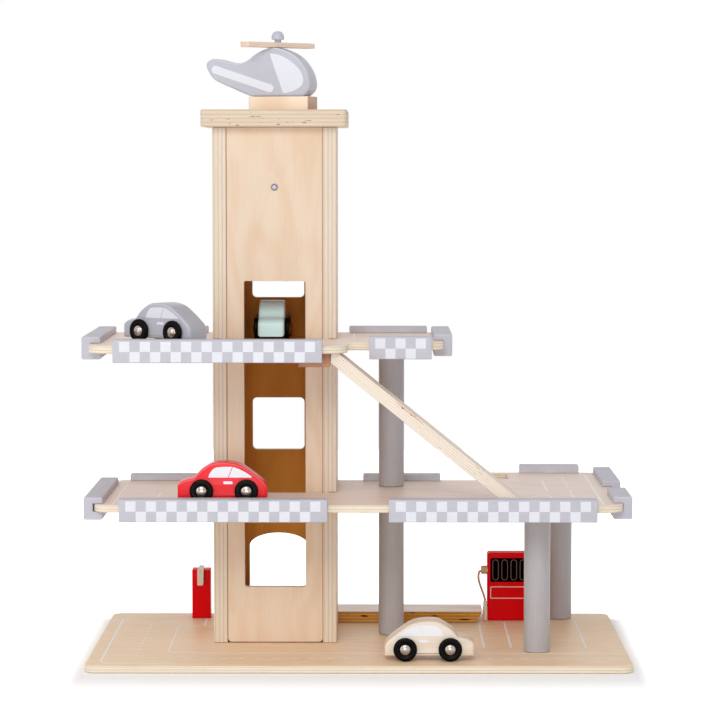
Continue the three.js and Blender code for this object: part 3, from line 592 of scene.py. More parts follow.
def finished(name, mesh, finish, place, node=None, body="garage", sharp=32):
    """The mesh as a named piece at its place, in its material, riding on a body of the frame.

    A piece that takes the place of one of the frame's nodes rides on that node's body.
    """
    mesh.name = name
    mesh.transform(Matrix.Scale(MM, 4) @ place)
    shape = bmesh.new()
    shape.from_mesh(mesh)
    bmesh.ops.remove_doubles(shape, verts=shape.verts, dist=1e-7)
    bmesh.ops.recalc_face_normals(shape, faces=shape.faces)
    smoothed(mesh_of(shape, mesh), sharp)
    if finish is not None:
        dress(mesh, finish)
    piece = put(name, mesh)
    if node:
        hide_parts(node)
    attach(piece, body_of(node) if node else body)
    return piece


def repaint(finish, *nodes):
    """Boards of the frame keep their shape and take a finish of their own."""
    for node in nodes:
        dress(frame["nodes"][node].data, finish)


# Node trees


class Tree:
    """Adds nodes to a tree. A value is a constant or another node's output."""

    surface = None

    def __init__(self, tree):
        self.tree = tree
        tree.nodes.clear()

    def link(self, source, target):
        self.tree.links.new(source, target)

    def add(self, kind, values=None, **options):
        made = self.tree.nodes.new(kind)
        for key, value in options.items():
            setattr(made, key, value)
        for key, value in (values or {}).items():
            if isinstance(value, bpy.types.NodeSocket):
                self.link(value, made.inputs[key])
            else:
                shown = made.inputs[key].type == "RGBA"
                made.inputs[key].default_value = (*value, 1) if shown else value
        return made

    def first(self, kind, values=None, **options):
        return self.add(kind, values, **options).outputs[0]

    def sum(self, operation, *values, clamp=False):
        return self.first("ShaderNodeMath", dict(enumerate(values)), operation=operation, use_clamp=clamp)

    def vector(self, operation, *values):
        made = self.add("ShaderNodeVectorMath", dict(enumerate(values)), operation=operation)
        return made.outputs["Value" if operation == "LENGTH" else "Vector"]

    def part(self, vector, axis):
        return self.add("ShaderNodeSeparateXYZ", {0: vector}).outputs[axis]

    def noise(self, place, factors, detail=3.0, roughness=0.55, distortion=0.0):
        values = {"Vector": self.vector("MULTIPLY", place, factors), "Scale": 1.0, "Detail": detail}
        values.update({"Roughness": roughness, "Distortion": distortion})
        return self.add("ShaderNodeTexNoise", values).outputs["Fac"]

    def span(self, value, low, high, to_low=0.0, to_high=1.0, smooth=False):
        values = {"Value": value, "From Min": low, "From Max": high, "To Min": to_low, "To Max": to_high}
        kind = "SMOOTHSTEP" if smooth else "LINEAR"
        return self.add("ShaderNodeMapRange", values, interpolation_type=kind).outputs["Result"]

    def mix(self, share, first, second, mode="MIX"):
        values = {0: share, 6: first, 7: second}
        return self.add("ShaderNodeMix", values, data_type="RGBA", blend_type=mode).outputs[2]

    def board_axes(self, order="XYZ", turn=(0, 0, 0)):
        """Place in millimetres and facing, in a board's own frame: along the grain, across, through."""
        coords = self.add("ShaderNodeTexCoord").outputs
        turn = tuple(math.radians(-a) for a in turn)
        for source, kind, scale in (("Object", "POINT", 1 / MM), ("Normal", "VECTOR", 1)):
            values = {"Vector": coords[source], "Rotation": turn, "Scale": (scale,) * 3}
            mapped = self.first("ShaderNodeMapping", values, vector_type=kind)
            parts = self.add("ShaderNodeSeparateXYZ", {0: mapped}).outputs
            yield self.first("ShaderNodeCombineXYZ", {i: parts[a] for i, a in enumerate(order)})

    def real(self, geometry, material):
        """Geometry with its instances made real, in its material."""
        real = self.first("GeometryNodeRealizeInstances", {"Geometry": geometry})
        return self.first("GeometryNodeSetMaterial", {"Geometry": real, "Material": material})

    def seen(self):
        """One for the rays that the camera sees straight, by reflection or through glass."""
        path = self.add("ShaderNodeLightPath").outputs
        either = self.sum("MAXIMUM", path["Is Camera Ray"], path["Is Glossy Ray"])
        return self.sum("MAXIMUM", either, path["Is Transmission Ray"])


def node_group(name, inputs, outputs=("Geometry",), kind="Geometry"):
    """Turns a function that gives a node group's outputs into one that makes the group or finds it.

    Each input is given as its kind of socket or as its default value.
    """

    def maker(build):
        def find():
            known = bpy.data.node_groups.get(name)
            if known:
                return known
            made = bpy.data.node_groups.new(name, kind + "NodeTree")
            kinds = {bool: "Bool", int: "Int", float: "Float"}
            for label, told in inputs.items():
                socket = kinds.get(type(told), told)
                given = made.interface.new_socket(
                    label, in_out="INPUT", socket_type="NodeSocket" + socket
                )
                if socket != told:
                    given.default_value = told
                elif socket == "Color":
                    given.default_value = (1, 1, 1, 1)
            for label in outputs:
                socket = {"Geometry": "Geometry", "Colour": "Color"}.get(label, "Float")
                made.interface.new_socket(label, in_out="OUTPUT", socket_type="NodeSocket" + socket)
            tree = Tree(made)
            ends = made.nodes.new("NodeGroupOutput").inputs
            for source, end in zip(build(tree, made.nodes.new("NodeGroupInput").outputs), ends):
                tree.link(source, end)
            return made

        return find

    return maker


WOOD_OUTPUTS = ("Colour", "Roughness", "Height")


@node_group(
    "Birch plywood",
    {
        "Place": "Vector", "Facing": "Vector", "Face": "Color", "Grain": "Color", "Pale Ply": "Color",
        "Dark Ply": "Color", "Ply Thickness": 1.5, "First Ply": 0.0, "Figure": 0.5, "Voids": 0.3,
    },
    WOOD_OUTPUTS, "Shader",
)
def birch_tree(tree, given):
    """Birch plywood: streaked faces, and an edge of pale and dark plies with a few voids."""
    place = given["Place"]
    across = tree.part(place, "Y")
    bend = tree.noise(place, (0.004, 0.012, 0.012), 1.0, 0.5)
    rings = tree.sum("MULTIPLY_ADD", bend, 9.0, tree.sum("MULTIPLY", across, 0.02))
    rings = tree.sum("PINGPONG", rings, 0.5)
    figure = tree.noise(place, (0.006, 0.05, 0.05), 3.0, 0.55, 0.9)
    figure = tree.sum("MULTIPLY_ADD", tree.span(rings, 0.1, 0.4, -0.12, 0.16), 1.0, figure)
    streaks = tree.noise(place, (0.025, 0.5, 0.5), 4.0, 0.6)
    pores = tree.noise(place, (0.16, 1.6, 1.6), 2.0, 0.6)
    broad = tree.sum("MULTIPLY", tree.span(figure, 0.38, 0.74), given["Figure"])
    share = tree.sum("ADD", broad, tree.span(streaks, 0.4, 0.8, 0.0, 0.22), clamp=True)
    face = tree.mix(share, given["Face"], given["Grain"])
    face = tree.mix(tree.span(pores, 0.58, 0.8, 0.0, 0.3), face, given["Grain"])
    height = tree.sum("SUBTRACT", tree.part(place, "Z"), given["First Ply"])
    ply = tree.sum("DIVIDE", height, given["Ply Thickness"])
    waver = tree.sum("MULTIPLY_ADD", tree.noise(place, (0.02, 0.02, 0)), 0.25, ply)
    turn = tree.sum("PINGPONG", tree.sum("ADD", waver, 0.5), 1.0)
    fibre = tree.noise(place, (0.5, 0.5, 2.4), 3.0, 0.7)
    dark = tree.span(turn, 0.55, 0.9, smooth=True)
    dark = tree.sum("MULTIPLY", dark, tree.span(fibre, 0.25, 0.75, 0.55, 1.0))
    edge = tree.mix(dark, given["Pale Ply"], given["Dark Ply"])
    edge = tree.mix(tree.span(streaks, 0.45, 0.8, 0.0, 0.3), edge, given["Dark Ply"])
    void = tree.span(tree.noise(place, (0.11, 0.11, 0.7), 0.0, 0.4), 0.78, 0.8)
    edge = tree.mix(tree.sum("MULTIPLY", void, given["Voids"]), edge, (0.24, 0.085, 0.03))
    lying = tree.sum("ABSOLUTE", tree.part(given["Facing"], "Z"))
    on_face = tree.span(lying, 0.55, 0.85, smooth=True)
    rise = tree.sum("MULTIPLY_ADD", pores, 0.6, streaks)
    ridge = tree.sum("MULTIPLY", dark, tree.sum("SUBTRACT", 1.0, on_face))
    rough = tree.span(streaks, 0.3, 0.75, 0.36, 0.52)
    return tree.mix(on_face, edge, face), rough, tree.sum("SUBTRACT", rise, ridge)


@node_group(
    "Paint on wood",
    {
        "Place": "Vector", "Paint": "Color", "Worn": "Color", "Grain": 0.3, "Wear": 0.3, "Gloss": 0.45,
        "Facing": "Vector", "Rim": 0.0,
    },
    WOOD_OUTPUTS, "Shader",
)
def paint_tree(tree, given):
    """Paint on wood: a little mottled, with the grain showing faintly, lighter edges of wear, and a painted
    highlight along the upper rounded edges.
    """
    place = given["Place"]
    mottle = tree.noise(place, (0.05, 0.05, 0.05), 3.0, 0.6)
    fibres = tree.noise(place, (0.03, 0.7, 0.7), 4.0, 0.6)
    speckle = tree.noise(place, (1.4, 1.4, 1.4), 2.0, 0.5)
    shade = tree.sum("MULTIPLY_ADD", tree.span(fibres, 0.3, 0.7, -0.5, 0.5), given["Grain"], 0.5)
    shade = tree.sum("MULTIPLY_ADD", tree.span(mottle, 0.3, 0.7, -0.5, 0.5), 0.25, shade)
    dark = tree.mix(1.0, given["Paint"], (0.86, 0.86, 0.86), "MULTIPLY")
    body = tree.mix(shade, dark, given["Paint"])
    edges = tree.add("ShaderNodeNewGeometry").outputs["Pointiness"]
    worn = tree.span(edges, 0.52, 0.6, smooth=True)
    worn = tree.sum("MULTIPLY", worn, tree.span(mottle, 0.35, 0.65, 0.35, 1.0))
    worn = tree.sum("MULTIPLY", worn, given["Wear"])
    # Painted highlight along the upper rounded edges, joined with the wear in one paler mask
    facing = tree.add("ShaderNodeSeparateXYZ", {0: given["Facing"]}).outputs
    through = tree.sum("SUBTRACT", tree.sum("ABSOLUTE", facing["Z"]), 0.72)
    rim = tree.span(tree.sum("ABSOLUTE", through), 0.05, 0.2, 1.0, 0.0, smooth=True)
    rim = tree.sum("MULTIPLY", rim, tree.span(facing["Y"], 0.1, 0.5))
    rim = tree.sum("MULTIPLY", rim, given["Rim"])
    worn = tree.sum("MAXIMUM", worn, rim)
    rough = tree.sum("ADD", tree.span(mottle, 0.3, 0.7, -0.05, 0.07), given["Gloss"])
    rise = tree.sum("MULTIPLY", fibres, given["Grain"])
    return tree.mix(worn, body, given["Worn"]), rough, tree.sum("MULTIPLY_ADD", speckle, 0.15, rise)


def material(specular=0.25, metallic=0.0):
    """Turns a function that gives a surface's look into one that makes the material or finds it.

    The look is a colour, a roughness, a height, the bump's strength and its relief in millimetres.
    """

    def maker(build):
        def find(name, *shown, specular=specular, **options):
            made = bpy.data.materials.get(name)
            if made:
                return made
            made = bpy.data.materials.new(name)
            made.use_nodes = True
            tree = Tree(made.node_tree)
            values = {"Metallic": metallic, "Specular IOR Level": specular}
            shader = tree.add("ShaderNodeBsdfPrincipled", values)
            tree.add("ShaderNodeOutputMaterial", {"Surface": shader.outputs[0]})
            tree.surface = shader.inputs
            look, rough, height, strength, relief = build(tree, *shown, **options)
            values = {"Height": height, "Strength": strength, "Distance": relief * MM}
            bump = tree.first("ShaderNodeBump", values)
            for label, source in (("Base Color", look), ("Roughness", rough), ("Normal", bump)):
                tree.link(source, tree.surface[label])
            return made

        return find

    return maker


@material(specular=0.4)
def birch(tree, order="XYZ", first=0.0, face=None, grain=None, pale=None, dark=None,
          figure=0.45, voids=0.3, turn=(0, 0, 0), ply=None, shaded_inside=0):
    """Birch plywood with its grain along the first axis of the order and its plies along the last.

    The inner face is given by the way it looks along that last axis, 1, -1, or 2 for both faces; it takes
    painted shade, darker and more saturated and with less shine, for the shade inside the tower.
    """
    place, facing = tree.board_axes(order, turn)
    paint = colours()
    values = {
        "Place": place, "Facing": facing, "Face": face or paint.birch, "Grain": grain or paint.birch_grain,
        "Pale Ply": pale or paint.pale_ply, "Dark Ply": dark or paint.dark_ply,
        "Ply Thickness": ply or sizes().ply_thickness / MM, "First Ply": first, "Figure": figure,
        "Voids": voids,
    }
    # Painted shade on the inner face: its colours are multiplied by the inner tint and its shine drops, for
    # the shade inside the tower
    if shaded_inside:
        way = tree.part(facing, "Z")
        inner = tree.sum("ABSOLUTE", way) if shaded_inside == 2 else tree.sum("MULTIPLY", way, shaded_inside)
        inner = tree.span(inner, 0.55, 0.85, smooth=True)
        tree.link(tree.span(inner, 0, 1, 0.4, 0.04), tree.surface["Specular IOR Level"])
        for label in ("Face", "Grain"):
            deep = [a * b for a, b in zip(values[label], paint.inside_painted_shade)]
            values[label] = tree.mix(inner, values[label], deep)
    group = tree.add("ShaderNodeGroup", values, node_tree=birch_tree())
    return *group.outputs, 0.35, 0.12


@material()
def painted(tree, shown, gloss=0.45, grain=0.3, wear=0.3, worn=None, order="XYZ",
            turn=(0, 0, 0), coat=0.0, rim=0.0):
    """Paint over wood whose grain runs along the first axis of the order.

    The rim is a painted highlight: the paler line along the upper rounded edges of a board cut across its
    last axis, where a lamp above would glint; it shares its paler colour with the wear.
    """
    if coat:
        tree.surface["Coat Weight"].default_value = coat
        tree.surface["Coat Roughness"].default_value = 0.16
        tree.surface["Coat IOR"].default_value = 1.3
    place, facing = tree.board_axes(order, turn)
    values = {
        "Place": place, "Facing": facing, "Paint": shown, "Worn": worn or [c + (1 - c) * 0.35 for c in shown],
        "Grain": grain, "Wear": wear, "Gloss": gloss, "Rim": rim,
    }
    group = tree.add("ShaderNodeGroup", values, node_tree=paint_tree())
    return *group.outputs, 0.35, 0.1


@material(specular=0.5, metallic=1.0)
def metal(tree, shown, rough=0.3):
    """Turned metal with fine marks around its surface."""
    place, _ = tree.board_axes()
    cloud = tree.noise(place, (0.4, 0.4, 0.4), 3.0, 0.6)
    marks = tree.noise(place, (4, 4, 4), 3.0, 0.7)
    look = tree.mix(tree.span(cloud, 0.3, 0.7), shown, [c * 0.72 for c in shown])
    return look, tree.span(marks, 0.3, 0.7, rough - 0.06, rough + 0.12), marks, 0.2, 0.05


@material()
def twisted_cord(tree, shown):
    """Cord of twisted strands, from the way along and around it, darker in the grooves between strands as
    painted shade.
    """
    uv = tree.first("ShaderNodeUVMap", uv_map="UVMap")
    parts = tree.add("ShaderNodeSeparateXYZ", {0: uv}).outputs
    lay = tree.sum("MULTIPLY_ADD", parts["Y"], 0.35, tree.sum("MULTIPLY", parts["X"], 3.0))
    strand = tree.span(tree.sum("PINGPONG", lay, 0.5), 0.0, 0.22, smooth=True)
    fuzz = tree.noise(uv, (24, 2.2, 1), 3.0, 0.7)
    # Painted shade in the grooves between strands; the fuzz darkens fibres at random
    deep = [c * 0.62 for c in shown]
    look = tree.mix(tree.span(fuzz, 0.5, 0.8, 0.0, 0.3), tree.mix(strand, deep, shown), deep)
    rise = tree.sum("MULTIPLY_ADD", fuzz, 0.3, strand)
    return look, tree.span(fuzz, 0.2, 0.8, 0.75, 0.95), rise, 0.6, 0.2


@material()
def printed(tree, shown, rough=0.55):
    """Screen print: nearly even, thinner in places so that a little of the board shows."""
    place, _ = tree.board_axes()
    thin = tree.noise(place, (0.3, 0.6, 0.6), 4.0, 0.65)
    board_share = [c * b for c, b in zip(shown, (0.94, 0.92, 0.9))]
    look = tree.mix(tree.span(thin, 0.45, 0.8, 0.0, 0.6), shown, board_share)
    return look, tree.span(thin, 0.3, 0.7, rough - 0.08, rough + 0.08), thin, 0.2, 0.05


# Geometry Nodes trees for what repeats


@node_group("Rows of tiles", {
    "Columns": 2, "Rows": 1, "Pitch": "Vector", "Tile Size": "Vector", "Every Other": False,
    "Material": "Material",
})
def tiles_tree(tree, given):
    """Rows and columns of flat tiles, all of them or every other one as on a checkerboard."""
    count = tree.sum("MULTIPLY", given["Columns"], given["Rows"])
    index = tree.first("GeometryNodeInputIndex")
    row = tree.sum("FLOOR", tree.sum("DIVIDE", index, given["Columns"]))
    column = tree.sum("SUBTRACT", index, tree.sum("MULTIPLY", row, given["Columns"]))
    place = tree.first("ShaderNodeCombineXYZ", {0: column, 1: row})
    place = tree.vector("MULTIPLY", place, given["Pitch"])
    points = tree.first("GeometryNodePoints", {"Count": count, "Position": place})
    odd = tree.sum("MODULO", tree.sum("ADD", column, row), 2.0)
    kept = tree.sum("LESS_THAN", tree.sum("MULTIPLY", odd, given["Every Other"]), 0.5)
    tile = tree.first("GeometryNodeMeshCube", {"Size": given["Tile Size"]})
    values = {"Points": points, "Selection": kept, "Instance": tile}
    return [tree.real(tree.first("GeometryNodeInstanceOnPoints", values), given["Material"])]


@node_group("Row of loops", {
    "Count": 4, "Pitch": 10.0, "Width": 7.0, "Height": 20.0, "Line": 1.0, "Relief": 0.1,
    "Material": "Material",
})
def loops_tree(tree, given):
    """A row of rounded loops of thin line, the plain zeros of the pump's display."""
    values = {"Width": given["Width"], "Height": given["Height"]}
    outline = tree.first("GeometryNodeCurvePrimitiveQuadrilateral", values)
    radius = tree.sum("MULTIPLY", given["Width"], 0.49)
    soft = tree.add("GeometryNodeFilletCurve", {"Curve": outline, "Radius": radius}, mode="POLY")
    soft.inputs["Count"].default_value = 8
    values = {"Width": given["Line"], "Height": given["Relief"]}
    section = tree.first("GeometryNodeCurvePrimitiveQuadrilateral", values)
    loop = tree.first("GeometryNodeCurveToMesh", {0: soft.outputs[0], 1: section})
    index = tree.first("GeometryNodeInputIndex")
    place = tree.first("ShaderNodeCombineXYZ", {0: tree.sum("MULTIPLY", index, given["Pitch"])})
    points = tree.first("GeometryNodePoints", {"Count": given["Count"], "Position": place})
    placed = tree.first("GeometryNodeInstanceOnPoints", {"Points": points, "Instance": loop})
    return [tree.real(placed, given["Material"])]


@node_group("Cord winding", {
    "Turns": 6.0, "Radius": 10.0, "Width": 12.0, "Thickness": 2.0, "Material": "Material",
})
def winding_tree(tree, given):
    """Turns of cord laid side by side on a drum, as one tube along a coil."""
    values = {"Resolution": 40, "Rotations": given["Turns"], "Start Radius": given["Radius"]}
    values.update({"End Radius": given["Radius"], "Height": given["Width"]})
    coil = tree.first("GeometryNodeCurveSpiral", values)
    half = tree.sum("DIVIDE", given["Thickness"], 2.0)
    ring = tree.first("GeometryNodeCurvePrimitiveCircle", {"Resolution": 10, "Radius": half})
    cord = tree.first("GeometryNodeCurveToMesh", {0: coil, 1: ring, "Fill Caps": True})
    return [tree.real(cord, given["Material"])]


def grown(tree, **values):
    """What the tree makes from these inputs, as a plain mesh."""
    holder = put("grown", bpy.data.meshes.new("grown"))
    modifier = holder.modifiers.new(tree.name, "NODES")
    modifier.node_group = tree
    for item in tree.interface.items_tree:
        key = item.name.lower().replace(" ", "_")
        if item.in_out == "INPUT" and key in values:
            modifier[item.identifier] = values[key]
    return plain_mesh(holder)


# Prints


def road_print(name, outlines, level):
    """Flat prints on a board's upper face, each one outline."""
    relief = sizes().print_relief / MM
    mesh = joined([board([outline], 2 * relief) for outline in outlines])
    return finished(name, mesh, printed("Road print", colours().road_white), at(0, 0, level))


def dash_row(name, x, y, count, yaw, level, dash=None, pitch=None):
    """A row of dashes from a first one centred on its place, on a board's upper face."""
    size = sizes()
    dash = dash or size.dash_length / MM
    pitch = pitch or size.dash_pitch / MM
    tile = (dash, size.line_width / MM, 2 * (size.print_relief / MM))
    finish = printed("Road print", colours().road_white)
    row = grown(tiles_tree(), columns=count, rows=1, pitch=(pitch, 0, 0), tile_size=tile, material=finish)
    return finished(name, row, None, at(x, y, level, yaw))


def side_prints(outlines, width, start):
    """The same prints on both sides of a board of this width, as one mesh."""
    meshes = []
    for side in (-1, 1):
        for outline in outlines:
            made = board([outline], PRINT_THICKNESS)
            made.transform(start @ Matrix.Translation((0, side * width / 2, 0)) @ STANDING)
            meshes.append(made)
    return joined(meshes)


# Pieces


class GARAGE_OT_stage(bpy.types.Operator):
    """Sets up the camera at the photograph's angle, the white floor, the lamps and the world"""

    bl_idname = "garage.stage"
    bl_label = "Stage"

    def execute(self, context):
        scene = context.scene
        scene.view_settings.view_transform = "Standard"
        camera = bpy.data.cameras.new("Camera")
        camera.lens = CAMERA_LENS
        camera.sensor_width = 36
        camera.clip_end = 50
        scene.camera = put("Camera", camera)
        scene.camera.location = CAMERA_PLACE
        scene.camera.rotation_euler = CAMERA_TURN
        self.floor()
        for name, (place, power, size) in LAMPS.items():
            light = bpy.data.lights.new(name, "AREA")
            light.energy = power
            light.size = size
            lamp = put(name, light)
            lamp.location = place
            aim = Vector(AIM) - Vector(place)
            lamp.rotation_euler = aim.to_track_quat("-Z", "Y").to_euler()
        self.sky(scene)
        return {"FINISHED"}

    def floor(self):
        """A matt floor that the camera sees as white away from the base; next to the base its glow is dimmed,
        a painted shadow that deepens the base's own shadow.
        """
        mesh = bpy.data.meshes.new("floor")
        mesh.from_pydata([(x, y, FLOOR_LEVEL) for x, y in FLOOR_CORNERS], [], [(0, 1, 2, 3)])
        floor = put("floor", mesh)
        made = bpy.data.materials.new("Floor")
        made.use_nodes = True
        tree = Tree(made.node_tree)
        matt = tree.first("ShaderNodeBsdfDiffuse", {"Color": colours().floor_white})
        place = tree.add("ShaderNodeTexCoord").outputs["Object"]
        half = (BASE_LENGTH * MM / 2, BASE_DEPTH * MM / 2, 0)
        away = tree.vector("SUBTRACT", tree.vector("ABSOLUTE", place), half)
        away = tree.vector("MAXIMUM", away, (0, 0, 0))
        away = tree.vector("MULTIPLY", away, (SOONER_AT_SIDES, 1, 1))
        back = half[1]
        behind = tree.span(tree.part(place, "Y"), back, back + PAINTED_SHADOW_REACH_BEHIND, 0.0, PAINTED_SHADOW_REACH)
        far = tree.sum("ADD", tree.vector("LENGTH", away), behind)
        seen = tree.seen()
        # Painted shadow round the base: the glow is a tenth of full next to the base and rises to full over
        # the reach
        strength = tree.sum("MULTIPLY", seen, tree.span(far, 0.0, PAINTED_SHADOW_REACH, 0.1, 1.0, smooth=True))
        glow = tree.first("ShaderNodeEmission", {"Color": (1, 1, 1), "Strength": strength})
        both = tree.first("ShaderNodeAddShader", {0: matt, 1: glow})
        tree.add("ShaderNodeOutputMaterial", {"Surface": both})
        mesh.materials.append(made)

    def sky(self, scene):
        scene.world = bpy.data.worlds.new("Sky")
        scene.world.use_nodes = True
        tree = Tree(scene.world.node_tree)
        strength = tree.span(tree.seen(), 0, 1, WORLD_STRENGTH, 1.0)
        sky = tree.first("ShaderNodeBackground", {"Color": (1, 1, 1), "Strength": strength})
        tree.add("ShaderNodeOutputWorld", {"Surface": sky})


class GARAGE_OT_hose(bpy.types.Operator):
    """Makes the pump's cord hose, its peg and its nozzle"""

    bl_idname = "garage.hose"
    bl_label = "Pump hose"

    def execute(self, context):
        paint = colours()
        route = spline(HOSE_ROUTE, 5)
        path = [tuple(c * MM for c in point) for point in route]
        thickness = sizes().hose_thickness
        run = sum(math.dist(a, b) for a, b in zip(path, path[1:]))
        hose = finished(
            "pump_hose_cord", tube(route, thickness / MM / 2), twisted_cord("Hose cord", paint.hose_tan),
            Matrix(), "pump_hose",
        )
        pale = birch("Nozzle wood", "ZXY", face=paint.pale_wood, pale=paint.pale_wood, figure=0.2, ply=30)
        profile = [(0, 0), (2, 0), (2.7, 0.9), (2.7, 16.1), (2.15, 17), (2.15, 22.2), (1.2, 22.8), (0, 22.8)]
        nozzle = finished(
            "pump_nozzle_wood", turned(rounded(profile, 0.5), 32), pale, at(*NOZZLE_FOOT), "pump_nozzle",
        )
        profile = rounded([(0, 0), (4.9, 0), (4.9, 15.1), (0, 15.1)], 1.4, 5)
        tan = birch("Peg wood", "XYZ", face=paint.peg_tan, pale=paint.peg_tan, figure=0.2, ply=30)
        finished(
            "pump_peg_wood", turned(profile, 48), tan, at(*PEG_END) @ TO_THE_RIGHT, "pump_hose_peg",
        )
        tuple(path[0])
        return {"FINISHED"}


class GARAGE_OT_base(bpy.types.Operator):
    """Makes the base board with its rounded corners"""

    bl_idname = "garage.base"
    bl_label = "Base board"

    def execute(self, context):
        paint = colours()
        outline = centred(BASE_LENGTH, BASE_DEPTH, BASE_CORNER, 12)
        finished(
            "base_board_plywood", board([outline], BASE_THICKNESS, 1.5, 4),
            birch("Base plywood", face=paint.base_birch, grain=paint.base_grain, figure=0.3),
            at(0, 0, BASE_THICKNESS / 2), "base_board",
        )
        return {"FINISHED"}


class GARAGE_OT_decks(bpy.types.Operator):
    """Makes the two deck boards, notched round the tower, the lower one with its ramp slot"""

    bl_idname = "garage.decks"
    bl_label = "Decks"

    def execute(self, context):
        paint = colours()

        def deck_corner(x, y, start):
            return corner(x, y, DECK_CORNER, start, 12)

        left, right = TOWER_X - NOTCH_HALF, TOWER_X + NOTCH_HALF
        notch = [(right, DECK_BACK), (right, NOTCH_FRONT), (left, NOTCH_FRONT), (left, DECK_BACK)]
        lower = (
            deck_corner(LOWER_LEFT, DECK_FRONT, 180)
            + deck_corner(LOWER_RIGHT, DECK_FRONT, 270)
            + deck_corner(LOWER_RIGHT, BAY_BACK, 0)
            + [(BAY_LEFT, BAY_BACK), (BAY_LEFT, DECK_BACK)]
            + notch
            + deck_corner(LOWER_LEFT, DECK_BACK, 90)
        )
        upper = (
            deck_corner(UPPER_LEFT, DECK_FRONT, 180)
            + deck_corner(NOSE_X, DECK_FRONT, 270)
            + [(NOSE_X, WING_FRONT)]
            + deck_corner(UPPER_RIGHT, WING_FRONT, 270)
            + deck_corner(UPPER_RIGHT, DECK_BACK, 0)
            + notch
            + deck_corner(UPPER_LEFT, DECK_BACK, 90)
        )
        for name, outlines, level in (
            ("lower_deck", [lower, rectangle(*SLOT, 3)], LOWER_LEVEL),
            ("upper_deck", [upper], UPPER_LEVEL),
        ):
            finish = birch(
                "Deck plywood " + name, face=paint.deck_birch, grain=paint.deck_grain,
                first=level - DECK_THICKNESS, figure=0.4,
            )
            finished(
                name + "_plywood", board(outlines, DECK_THICKNESS, sizes().board_easing / MM, 3), finish,
                at(0, 0, level - DECK_THICKNESS / 2), name,
            )
        return {"FINISHED"}


class GARAGE_OT_tower(bpy.types.Operator):
    """Makes the lift tower's pierced front and back panels and its roof, and finishes its sides"""

    bl_idname = "garage.tower"
    bl_label = "Tower"

    def execute(self, context):
        easing = sizes().board_easing / MM
        half = PANEL_WIDTH / 2
        front = [
            corner(-half, PANEL_FOOT, 4, 180)
            + corner(half, PANEL_FOOT, 4, 270)
            + [(half, PANEL_TOP), (-half, PANEL_TOP)],
            rectangle(*DOOR, 2, 4),
            circle(SCREW_BORE, 24, 0, AXLE_LEVEL),
        ]
        side = ARCH_WIDTH / 2
        turns = [math.pi * (1 - i / 24) for i in range(25)]
        crown = [(side * math.cos(a), ARCH_SPRING + ARCH_RISE * math.sin(a)) for a in turns]
        width = WINDOW_WIDTH / 2
        back = [
            [(-half, PANEL_TOP), (-half, PANEL_FOOT), (-side, PANEL_FOOT)]
            + crown
            + [(side, PANEL_FOOT), (half, PANEL_FOOT), (half, PANEL_TOP)],
            *(rectangle(-width, sill, width, sill + WINDOW_HEIGHT, 5) for sill in WINDOW_SILLS),
            circle(AXLE_BORE, 40, 0, AXLE_LEVEL),
        ]
        # The panels' faces inside the tower take painted shade
        for name, outlines, y, edge, shaded_inside in (
            ("front", front, FRONT_PANEL_Y, easing / 2, 1),
            ("back", back, BACK_PANEL_Y, easing, -1),
        ):
            first = y - PANEL_THICKNESS / 2
            finish = birch(f"Tower {name} plywood", "ZXY", first=first, figure=0.4, shaded_inside=shaded_inside)
            finished(
                f"tower_{name}_plywood", board(outlines, PANEL_THICKNESS, edge), finish,
                at(TOWER_X, y, 0) @ STANDING, f"tower_{name}_panel",
            )
        long, wide, thick = ROOF
        finish = birch(
            "Roof plywood", first=ROOF_UNDERSIDE, figure=0.35, voids=1.0, ply=2.1,
            pale=tint(222, 203, 180), dark=tint(202, 175, 146),
        )
        finished(
            "tower_roof_plywood", board([centred(long, wide, 5, 10)], thick, 2, 5), finish,
            at(TOWER_X, TOWER_Y, ROOF_UNDERSIDE + thick / 2), "tower_roof",
        )
        # The side panels' faces inside the tower take painted shade
        for side, shaded_inside in (("left", 1), ("right", -1)):
            finish = birch(
                "Tower plywood " + side, "ZYX", first=TOWER_X, figure=0.4, shaded_inside=shaded_inside, ply=2.2,
                voids=0.0, pale=tint(226, 211, 192), dark=tint(207, 182, 155),
            )
            repaint(finish, f"tower_{side}_panel")
        return {"FINISHED"}


class GARAGE_OT_rails(bpy.types.Operator):
    """Makes the grooved edge rails, with the checkered print on the front ones"""

    bl_idname = "garage.rails"
    bl_label = "Edge rails"

    def execute(self, context):
        size, paint = sizes(), colours()
        square = size.checker_square / MM
        relief = size.print_relief / MM
        inner, outer = -RAIL_GROOVE, RAIL_WIDTH - RAIL_GROOVE
        bottom = -DECK_THICKNESS - RAIL_BELOW
        white = printed("Checker print", paint.rail_white)
        high, low = GROOVE_PLAY, -DECK_THICKNESS - GROOVE_PLAY
        groove = [(inner, high), (high, high), (high, low), (inner, low)]
        for name, (long, side, x, y, level, above) in RAILS.items():
            order = "XYZ" if side in ("front", "back") else "YXZ"
            section = rectangle(inner, bottom, outer, above, size.rail_rounding / MM, 5) + groove
            finished(
                name + "_paint", board([section], long, 0.8, 2),
                painted("Rail paint " + order, paint.rail_grey, 0.5, 0.25, 0.7, order=order),
                at(x, y, level, FACING[side]) @ STANDING, name,
            )
            if side != "front":
                continue
            columns = size.checker_columns if long > 100 else SHORT_RAIL_COLUMNS
            squares = grown(
                tiles_tree(), columns=columns, rows=2, pitch=(square, -square, 0),
                tile_size=(square, square, 2 * relief), every_other=True, material=white,
            )
            left = x - square * (columns - 1) / 2
            height = level + (bottom + above + square) / 2 - CHECKER_DROP
            finished(name + "_checkers", squares, None, at(left, y - outer, height) @ STANDING)
        return {"FINISHED"}


